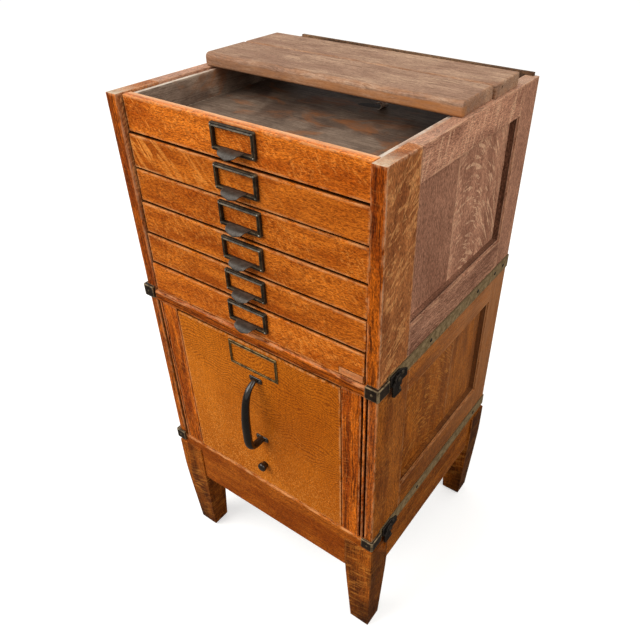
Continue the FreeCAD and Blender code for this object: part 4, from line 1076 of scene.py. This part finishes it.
class CabinetDrawers(bpy.types.Operator):
    """Fronts and boxes of the six flat drawers and of the file drawer."""

    bl_idname = "cabinet.drawers"
    bl_label = "Drawers"

    def execute(self, context):
        edge = context.scene.cabinet_sizes.front_round / MM
        for number, mood in zip(DRAWERS, MOODS):
            self.flat_front(number, mood, edge)
            self.flat_box(number)
        low, high = node_box("file_drawer_front")
        front = board(low, high, 2, 1, edge=edge, seed=140)
        # The figure grows towards the upper right
        front["figure"] = (front["points"] @ np.array([0.45, 0, 1]) / MM - 440) / 150
        shaded_gap_edges(front, low)
        piece("file_front", [front], "file_drawer", "file_front",
              ["file_drawer_front"])
        parts = box_parts("file_drawer_box", wall=10, back=10, floor=6, lift=0.3,
                          edges=(1.2, 0.4), grain=1, seed=241, tone=0.2)
        piece("file_box", parts, "file_drawer", "inside",
              ["file_drawer_box"])
        return {"FINISHED"}

    def flat_front(self, number, mood, edge):
        """A flat drawer's front; the first is bare on top and the sixth has been repaired."""
        low, high = node_box(f"drawer_{number}_front")
        tone, left, right = mood
        front = board(low, high, 0, 1, edge=edge, seed=100 + 3 * number, tone=tone)
        x, y, z = front["points"].T / MM
        front["figure"] = left + (right - left) * (x - low[0]) / (high[0] - low[0])
        shaded_gap_edges(front, low)
        parts = [front]
        if number == 1:
            front["soot"][z > high[2] - 2] = 0
            front["bare"] = (z > high[2] - 0.4) * np.clip((y - low[1] - 3.5) / 7, 0, 1)
        if number == 6:
            # A paler repair let into the lower right corner, in a dark line of glue
            for inset, proud, marks in ((0, 0.12, {"soot": 1.0}),
                                        (0.9, 0.25, {"bare": 0.38, "tone": 0.3})):
                parts.append(board((high[0] - 41 + inset, low[1] - proud, low[2] + 0.4 + inset),
                                   (high[0] - 0.6 - inset, low[1] + 0.8, low[2] + 14 - inset),
                                   0, 1, edge=0.1, band=0.5, seed=131, figure=-1, **marks))
        piece(f"front_{number}", parts, f"flat_drawer_{number}",
              "front_rays" if number == 2 else "front", [f"drawer_{number}_front"])

    def flat_box(self, number):
        """A flat drawer's box, with bare upper edges on its sides."""
        low, high = node_box(f"drawer_{number}_box")
        floor = 3.5
        parts = box_parts(f"drawer_{number}_box", wall=6, back=8, floor=floor, lift=0.2,
                          edges=(0.8, 0.2), grain=0, seed=200 + 5 * number)
        for part in parts[:2]:
            part["bare"] = 0.8 * (part["points"][:, 2] > (high[2] - 0.5) * MM)
        if number == 1:
            parts += torn_lining(low[2] + floor + 0.2)
        piece(f"box_{number}", parts, f"flat_drawer_{number}",
              "inside", [f"drawer_{number}_box"])


def domed_screw(x, y, z, axis, side, radius=3.4, height=1.3):
    """A round-headed screw: a low dome from its rim to its crown."""
    turn = np.linspace(0, math.pi / 2, 5)
    rows = [(radius * 0.9, -0.6, 0), (radius, 0, 0.4)]
    rows += [(radius * np.cos(t), height * np.sin(t), 0.3 + 0.7 * np.sin(t)) for t in turn[1:-1]]
    rows.append((radius * 0.12, height, 1))
    rows = [(r, level * side, worn) for r, level, worn in rows]
    return turned(rows, axis, (x, y, z), sides=20)


class CabinetLabels(bpy.types.Operator):
    """Label frames with their finger lips, and the file drawer's thin label frame."""

    bl_idname = "cabinet.labels"
    bl_label = "Label frames"

    def execute(self, context):
        for number in DRAWERS:
            self.pull(number, context.scene.cabinet_sizes.bar_height / MM)
        self.file_label()
        return {"FINISHED"}

    def pull(self, number, proud):
        """Rolled bars round a window, and the lip that leaves the lower bar."""
        body, node = f"flat_drawer_{number}", f"drawer_{number}_label_pull"
        low, high = node_box(node)
        face, top, bottom = high[1], high[2], high[2] - 36
        # The bar's section: how far in from the outer edge, how far from the face, and its wear
        # and painted highlight
        section = [(0, 0.05, 0), (0, 3.2, 0.2), (0.5, 4.3, 0.7), (1.2, 4.6, 0.3), (2.3, 4.4, 0),
                   (3.0, 5.0, 0.5), (3.7, proud, 1), (4.5, proud - 0.3, 1), (5.0, 4.4, 0.3),
                   (5.1, 0.05, 0)]
        bars = shell(rectangle(low[0], bottom, high[0], top),
                     [(inset, face - out, worn) for inset, out, worn in section], "XZ",
                     radius=2.2, band=3, steps=4, weights=[1.25, 1.0, 1.1, 1.0], loop=True)
        pins = [domed_screw(side * (high[0] - 3.0), face - 4.6, z, 1, -1, radius=1.5, height=1.5)
                for side, _ in SIDES for z in (top - 3.2, bottom + 3.6)]
        piece(f"label_frame_{number}", [bars], body, "label", [node])
        piece(f"label_pins_{number}", pins, body, "bright", [node])
        piece(f"finger_lip_{number}", [self.lip(low[2], face, bottom + 6)], body,
              "lip", [node], angle=60)

    def lip(self, tip, face, root):
        """Curved tongue: level out of the bar, over a bend and down, narrowing to a round end.

        Its middle stands a little forward of its edges.
        """
        knots = [(face - 3.5, root), (face - 9, root - 0.2), (face - 15, root - 1.4),
                 (face - 18.6, root - 5), (face - 19.4, tip + 0.2)]
        path = smooth_path(knots, 22)
        way = np.linspace(0, 1, 22)
        half = np.interp(way, [0, 0.15, 0.32, 0.5, 0.66, 0.8, 0.9, 0.96, 1.0],
                         [18.6, 18.8, 17.6, 16.2, 14.6, 12.2, 9.4, 6.8, 4.5])
        across = np.linspace(-1, 1, 17)
        surface = np.empty((22, 17, 3))
        surface[..., 0] = half[:, None] * across
        surface[..., 1] = path[:, 0, None] + 1.6 * across ** 2 * way[:, None]
        surface[..., 2] = path[:, 1, None] + 1.8 * across ** 2 * way[:, None]
        return leaf(surface, 1.4)

    def file_label(self):
        """Thin pressed frame with a raised inner edge, and a small domed screw at each corner."""
        low, high = node_box("file_label_frame")
        face = high[1]
        section = [(0, 0.02, 0), (0, 1.2, 0.5), (0.7, 1.9, 1), (1.8, 1.3, 0), (3.2, 1.4, 0),
                   (4.0, 2.15, 1), (4.5, 1.4, 0.5), (4.5, 0.02, 0)]
        bars = shell(rectangle(low[0], low[2], high[0], high[2]),
                     [(inset, face - out, worn) for inset, out, worn in section], "XZ",
                     radius=1.0, band=2, steps=2, loop=True, weights=[1.0, 1.0, 1.33, 1.0])
        pins = [domed_screw(x, face - 1.4, z, 1, -1, radius=1.2, height=0.9)
                for x in (low[0] + 2.3, high[0] - 2.3) for z in (low[2] + 2.3, high[2] - 3)]
        piece("file_label", [bars, *pins], "file_drawer", "brass",
              ["file_label_frame"])


class CabinetPull(bpy.types.Operator):
    """Bow pull of the file drawer, and the guide rod with its knob."""

    bl_idname = "cabinet.pull"
    bl_label = "Bow pull and rod"

    def execute(self, context):
        low, high = node_box("file_bow_pull")
        face, top, bottom = high[1], high[2] - 5, low[2] + 5
        grip = context.scene.cabinet_sizes.grip_radius / MM
        # How far the grip's middle line stands from the face, and at what height
        knots = [(1, top), (9, top - 1.5), (21, top - 11), (29.4, top - 31), (33.7, top - 62),
                 (34.4, top - 92), (33.7, top - 115), (29, top - 127), (20, bottom), (1, bottom)]
        path = smooth_path([(0, face - out, z) for out, z in knots], 80)
        way = np.linspace(0, 1, 80)
        swell = np.interp(way, [0, 0.1, 0.3, 0.5, 0.72, 0.85, 1],
                          [0.6, 0.55, 0.8, 1, 0.95, 0.85, 0.8])
        worn = np.interp(way, [0, 0.08, 0.2, 0.35, 0.8, 0.92, 1], [0.8, 0.9, 0.6, 0, 0, 0.3, 0.6])
        parts = [swept(path, (1, 0, 0), grip * swell * 1.1, grip * swell * 0.85, worn=worn)]
        for height in (top, bottom):
            parts.append(shell(rectangle(-13, height - 5, 13, height + 5),
                               rim(face, face - 3.4, 0.9, width=10), "XZ", radius=2.6, band=1.6,
                               steps=4))
            parts += [domed_screw(x, face - 3.2, height, 1, -1, radius=2.6, height=1.1)
                      for x in (-9, 9)]
        piece("bow_pull", parts, "file_drawer", "enamel", ["file_bow_pull"],
              angle=50)
        self.rod()
        return {"FINISHED"}

    def rod(self):
        """Steel rod and its turned knob with a flat face and a rounded rim."""
        low, high = node_box("guide_rod")
        centre = (0, 0, (low[2] + high[2]) / 2)
        front, rear = low[1], high[1]
        face = front + 13
        shaft = [(4.9, face - 0.2, 0), (4.95, rear - 1, 0.3), (4.2, rear, 1)]
        knob = [(6.2, face - 0.35, 0), (6.3, face - 3.6, 0.3), (7.0, face - 4.6, 0),
                (8.1, face - 5.8, 0.4), (8.4, face - 7.2, 0.2), (8.4, face - 10.2, 0.5),
                (7.8, face - 11.7, 1), (6.6, face - 12.6, 0.6), (3.4, front + 0.05, 0),
                (0.8, front, 0)]
        piece("rod_shaft", [turned(shaft, 1, centre)], "guide_rod",
              "bright", ["guide_rod"])
        piece("rod_knob", [turned(knob, 1, centre, sides=32)], "guide_rod",
              "enamel", ["guide_rod"], angle=50)


# Screws along each kind of strip, and the front face that its caps sit on
STRIPS = {"joint": ((-70.5, 89, 156, 189.5), -212.5), "base": ((-67, 162.5), -214.6)}
# Outlines of a latch's plate and hook, from the pivot: how far back and how far up
PLATE = [(-15, -10), (-15, 8), (-13.5, 9.5), (10, 9.5), (30, -2), (30, -15), (16, -15),
         (16, -20.5), (14.5, -22), (11, -22), (9.5, -20.5), (9.5, -10)]
HOOK = [(-8.5, 3), (-4, 7.5), (4, 7.5), (8.5, 3), (8.5, -9.5), (0.5, -12.5), (0.5, -23.5),
        (9, -23.5), (9, -28), (-10, -28), (-13.5, -24.5), (-13.5, -6), (-8.5, -3)]


class CabinetStrips(bpy.types.Operator):
    """Joint strips with their corner caps, screws and latches."""

    bl_idname = "cabinet.strips"
    bl_label = "Joint strips and latches"

    def execute(self, context):
        for side, hand in SIDES:
            for joint, (screws, seat) in STRIPS.items():
                self.strip(joint, screws, seat, side, hand)
            for joint, y, z in (("upper", -173, 614), ("base", -170, 614 - 336.8)):
                self.latch(joint, y, z, side, hand)
        return {"FINISHED"}

    def strip(self, joint, screws, seat, side, hand):
        """Flat strip along the side and the cap bent round the corner, rounded on its arrises."""
        node = f"{joint}_strip_{hand}"
        low, high = node_box(node)
        bottom, front, outer, inner, corner = low[2], low[1], 229.5, 207.0, -190
        flat = shell(rectangle(corner - 0.6, bottom, CASE_BACK, high[2]),
                     rim(SIDE_FACE, SIDE_FACE + 2, 0.6, band=1.6, width=24), "YZ", radius=0.8,
                     band=2)
        outline = [(inner, front), (outer, front), (outer, corner), (SIDE_FACE, corner),
                   (SIDE_FACE, seat), (inner, seat)]
        cap = shell(outline, rim(bottom, bottom + 20.8, 1.0, band=2, width=7), "XY",
                    radius=[0.8, 3.2, 0.8, 0.3, 0.3, 0.8], band=2, steps=3)
        nail = domed_screw((inner + outer) / 2, front + 0.1, bottom + 10.4, 1, -1, 2.2, 0.8)
        heads = [domed_screw(SIDE_FACE + 1.9, y, bottom + 12.25, 0, 1) for y in screws]
        for look, parts in (("strip", [flat]), ("cap", [cap, nail])):
            piece(f"{joint}_{look}_{hand}", on_side(parts, side), "case", look,
                  [node])
        piece(f"{joint}_strip_screws_{hand}", on_side(heads, side), "case", "iron",
              ["strip_screws_and_studs"])

    def latch(self, joint, y, z, side, hand):
        """Fixed plate with pivot and screw, the catch stud, and the hook that swings."""
        back = 226.7
        plate = shell([(y + a, z + b) for a, b in PLATE],
                      rim(back, back + 3, 0.8, band=1.5, width=14), "YZ", radius=1.2, band=1.5)
        pivot = turned([(2.5, back + 2, 0), (2.5, back + 7, 0), (4.0, back + 7.1, 0.3),
                        (3.9, back + 7.7, 0.8), (2.8, back + 8.3, 1), (0.5, back + 8.4, 1)],
                       0, (0, y, z))
        screw = domed_screw(back + 2.9, y + 16, z, 0, 1, 3.7, 1.6)
        stud = turned([(3, SIDE_FACE + 0.1, 0), (3, 232.2, 0.2), (2.6, 233, 1), (0.6, 233.3, 1)],
                      0, (0, y + 5, z - 20))
        hook = shell([(y + a, z + b) for a, b in HOOK],
                     rim(back + 3.3, back + 6.8, 0.9, band=1.4, width=6), "YZ", radius=1.6,
                     band=1.4)
        piece(f"{joint}_latch_plate_{hand}", on_side([plate], side), "case",
              "iron", ["latch_plates"])
        piece(f"{joint}_latch_pins_{hand}", on_side([pivot, screw, stud], side), "case",
              "pin", ["latch_plates", "strip_screws_and_studs"])
        piece(f"{joint}_hook_{hand}", on_side([hook], side), f"{joint}_latch_{hand}",
              "iron", [f"{joint}_latch_hook_{hand}"])


class CabinetBoards(bpy.types.Operator):
    """The two loose boards on top."""

    bl_idname = "cabinet.boards"
    bl_label = "Loose top boards"

    def execute(self, context):
        front = self.plank(91, (0, 11.5), 7, [12, 3, 1.5, 2.5], [1, 0.4, 0.25, 0.7], 301)
        # The front nosing is bare and brown towards the right, and darker towards the left
        x, y, z = front["points"].T / MM
        nosing = (y < -20) & (z < CASE_TOP + 14)
        front["bare"] = 0.85 * nosing * np.clip((x + 60) / 160, 0.15, 1)
        front["tone"] = np.where(nosing, -0.22 * np.clip((60 - x) / 160, 0, 1), 0.0)
        piece("front_board", [front], "front_board", "board",
              ["front_top_board"], angle=60)
        back = self.plank(80, (1.5, 101), 2.2, [1.5, 2.5, 2, 1.5], 1.0, 305)
        made = piece("back_board", [back], "back_board", "board",
                     ["back_top_board"])
        end = node_box("back_top_board")[1][0]
        hole = turned([(2.2, end - 14, 0), (2.2, end + 3, 0)], 0, (0, 84, CASE_TOP + 12), sides=16)
        cut_with(made, [hole])
        return {"FINISHED"}

    def plank(self, depth, centre, edge, corners, weights, seed):
        """A plank turned a little about the vertical, with an elliptic round on each arris.

        The weights make the round deeper or flatter side by side.
        """
        half, middle = 435 / 2, depth / 2
        turn = np.linspace(0, math.pi / 2, 6)
        low, high, thick = edge * 0.57, edge, 19
        rows = [(20, 0, -1)]
        rows += [(low * (1 - np.sin(t)), low * (1 - np.cos(t)), 1) for t in turn]
        rows += [(0, 9, 0.9)]
        rows += [(high * (1 - np.cos(t)), thick - high * (1 - np.sin(t)), 1) for t in turn]
        rows += [(high + 4, thick, 0.0), (28, thick, -1)]
        plank = shell(rectangle(-half, -middle, half, middle), rows, "XY", radius=corners,
                      band=14, steps=5, weights=weights, along=0, through=2, seed=seed)
        angle = math.radians(0.85)
        turned_to = np.array([[math.cos(angle), -math.sin(angle), 0],
                              [math.sin(angle), math.cos(angle), 0], [0, 0, 1]])
        # The planks lie 0.08 mm above the case, so that their undersides don't fight with it
        spot = np.array([*centre, CASE_TOP + 0.08])
        plank["points"] = plank["points"] @ turned_to.T + spot * MM
        return plank


class CabinetInside(bpy.types.Operator):
    """Follower block that holds the files up inside the file drawer."""

    bl_idname = "cabinet.inside"
    bl_label = "Follower block"

    def execute(self, context):
        low, high = node_box("follower_block")
        front = high[1] - 10
        plate = shell(rectangle(low[0], low[2], high[0], high[2]), rim(front, high[1], 1.2),
                      "XZ", radius=[1, 1, 20, 20], steps=6, along=0, through=1, seed=261,
                      tone=0.2)
        block = board((-22, low[1], low[2]), (22, front - 0.1, 347), 1, 0, seed=262)
        piece("follower", [plate, block], "follower", "inside",
              ["follower_block"])
        return {"FINISHED"}


class CabinetStageSet(bpy.types.Operator):
    """Pale floor, soft lamps and the camera."""

    bl_idname = "cabinet.stage"
    bl_label = "Stage"

    def execute(self, context):
        scene = context.scene
        stage = scene.cabinet_stage
        self.floor()
        self.world(stage.sky)
        self.lamp("key lamp", (-1.6, -2.1, 2.7), 2.6, stage.key_power)
        self.lamp("fill lamp", (2.4, -0.4, 2.5), 1.6, stage.fill_power)
        self.camera(stage.lens)
        scene.view_settings.view_transform = "Standard"
        return {"FINISHED"}

    def floor(self):
        """A wide plain plane just under the feet.

        The camera sees it pale and glowing towards white; the cabinet gets only the weak bounce
        of a darker floor.
        """
        material, tree = new_material("pale matt floor")
        seen = add(tree, "LightPath").outputs["Is Camera Ray"]
        colour = add(tree, "Mix", {0: seen, 6: "#6E655C", 7: "#DCDAD6"},
                     data_type="RGBA").outputs[2]
        matt = add(tree, "BsdfDiffuse", {"Color": colour})
        bright = add(tree, "Math", (seen, 0.5), operation="MULTIPLY")
        glow = add(tree, "Emission", {"Color": (1, 1, 1, 1), "Strength": bright})
        both = add(tree, "AddShader", (matt, glow))
        add(tree, "OutputMaterial", {"Surface": both})
        metres, level = 40.0, -0.0005
        corners = [(x, y, level) for x, y in rectangle(-metres, -metres, metres, metres)]
        mesh = bpy.data.meshes.new("floor")
        mesh.from_pydata(corners, [], [(0, 1, 2, 3)])
        mesh.materials.append(material)
        made = bpy.data.objects.new("floor", mesh)
        bpy.context.scene.collection.objects.link(made)

    def world(self, strength):
        """Even light from all round; the camera sees plain white, also through clear things."""
        world = bpy.data.worlds.new("studio")
        world.use_nodes = True
        tree = world.node_tree
        tree.nodes.clear()
        path = add(tree, "LightPath")
        seen = add(tree, "Math", (path.outputs["Is Camera Ray"],
                                  path.outputs["Is Transmission Ray"]), operation="MAXIMUM")
        soft = add(tree, "Background", {"Color": (1, 1, 1, 1), "Strength": strength})
        white = add(tree, "Background", {"Color": (1, 1, 1, 1), "Strength": 1.0})
        both = add(tree, "MixShader", (seen, soft, white))
        add(tree, "OutputWorld", {"Surface": both})
        bpy.context.scene.world = world

    def lamp(self, name, spot, size, power):
        """A large square lamp aimed at the middle of the cabinet."""
        data = bpy.data.lights.new(name, "AREA")
        data.shape, data.size, data.energy = "SQUARE", size, power
        made = bpy.data.objects.new(name, data)
        aim = Vector((0, 0, 0.5)) - Vector(spot)
        made.location = spot
        made.rotation_euler = aim.to_track_quat("-Z", "Y").to_euler()
        bpy.context.scene.collection.objects.link(made)

    def camera(self, lens):
        """The photograph's place in metres, and its turn, tilt down and slight roll in degrees."""
        spot = (0.5363, -0.7128, 1.1742)
        turn, rise, roll = (math.radians(angle) for angle in (34.187, 36.472, 0.525))
        back = Vector((math.sin(turn) * math.cos(rise), -math.cos(turn) * math.cos(rise),
                       math.sin(rise)))
        right = Vector((0, 0, 1)).cross(back).normalized()
        up = back.cross(right)
        rolled_right = math.cos(roll) * right + math.sin(roll) * up
        rolled_up = math.cos(roll) * up - math.sin(roll) * right
        data = bpy.data.cameras.new("camera")
        data.lens, data.sensor_width = lens, 36
        data.shift_x, data.shift_y = -0.05228, 0.00521
        data.clip_start = 0.01
        made = bpy.data.objects.new("camera", data)
        basis = Matrix((rolled_right, rolled_up, back)).transposed().to_4x4()
        made.matrix_world = Matrix.Translation(spot) @ basis
        bpy.context.scene.collection.objects.link(made)
        bpy.context.scene.camera = made


class CabinetPanel(bpy.types.Panel):
    """The steps that dress the cabinet, in order."""

    bl_idname = "VIEW3D_PT_cabinet"
    bl_label = "Filing cabinet"
    bl_space_type = "VIEW_3D"
    bl_region_type = "UI"
    bl_category = "Cabinet"

    def draw(self, context):
        for step in STEPS:
            self.layout.operator(step.bl_idname)
        for group in SETTINGS:
            settings = getattr(context.scene, group)
            for name in settings.__annotations__:
                self.layout.prop(settings, name)


SETTINGS = {
    "cabinet_sizes": CabinetSizes,
    "cabinet_colours": CabinetColours,
    "cabinet_stage": CabinetStage,
}
STEPS = (
    CabinetMaterials, CabinetBase, CabinetSides, CabinetFront, CabinetDrawers, CabinetLabels,
    CabinetPull, CabinetStrips, CabinetBoards, CabinetInside, CabinetStageSet,
)


def register():
    """Register the classes and hang the settings on the scene."""
    for group in SETTINGS.values():
        bpy.utils.register_class(group)
    for step in (*STEPS, CabinetPanel):
        bpy.utils.register_class(step)
    for name, group in SETTINGS.items():
        setattr(bpy.types.Scene, name, bpy.props.PointerProperty(type=group))


def unregister():
    """Take the settings and classes away again."""
    for name in SETTINGS:
        delattr(bpy.types.Scene, name)
    for step in (*STEPS, CabinetPanel, *SETTINGS.values()):
        bpy.utils.unregister_class(step)


def main():
    """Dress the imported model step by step."""
    register()
    for step in STEPS:
        family, name = step.bl_idname.split(".")
        getattr(getattr(bpy.ops, family), name)()


if __name__ == "__main__":
    main()
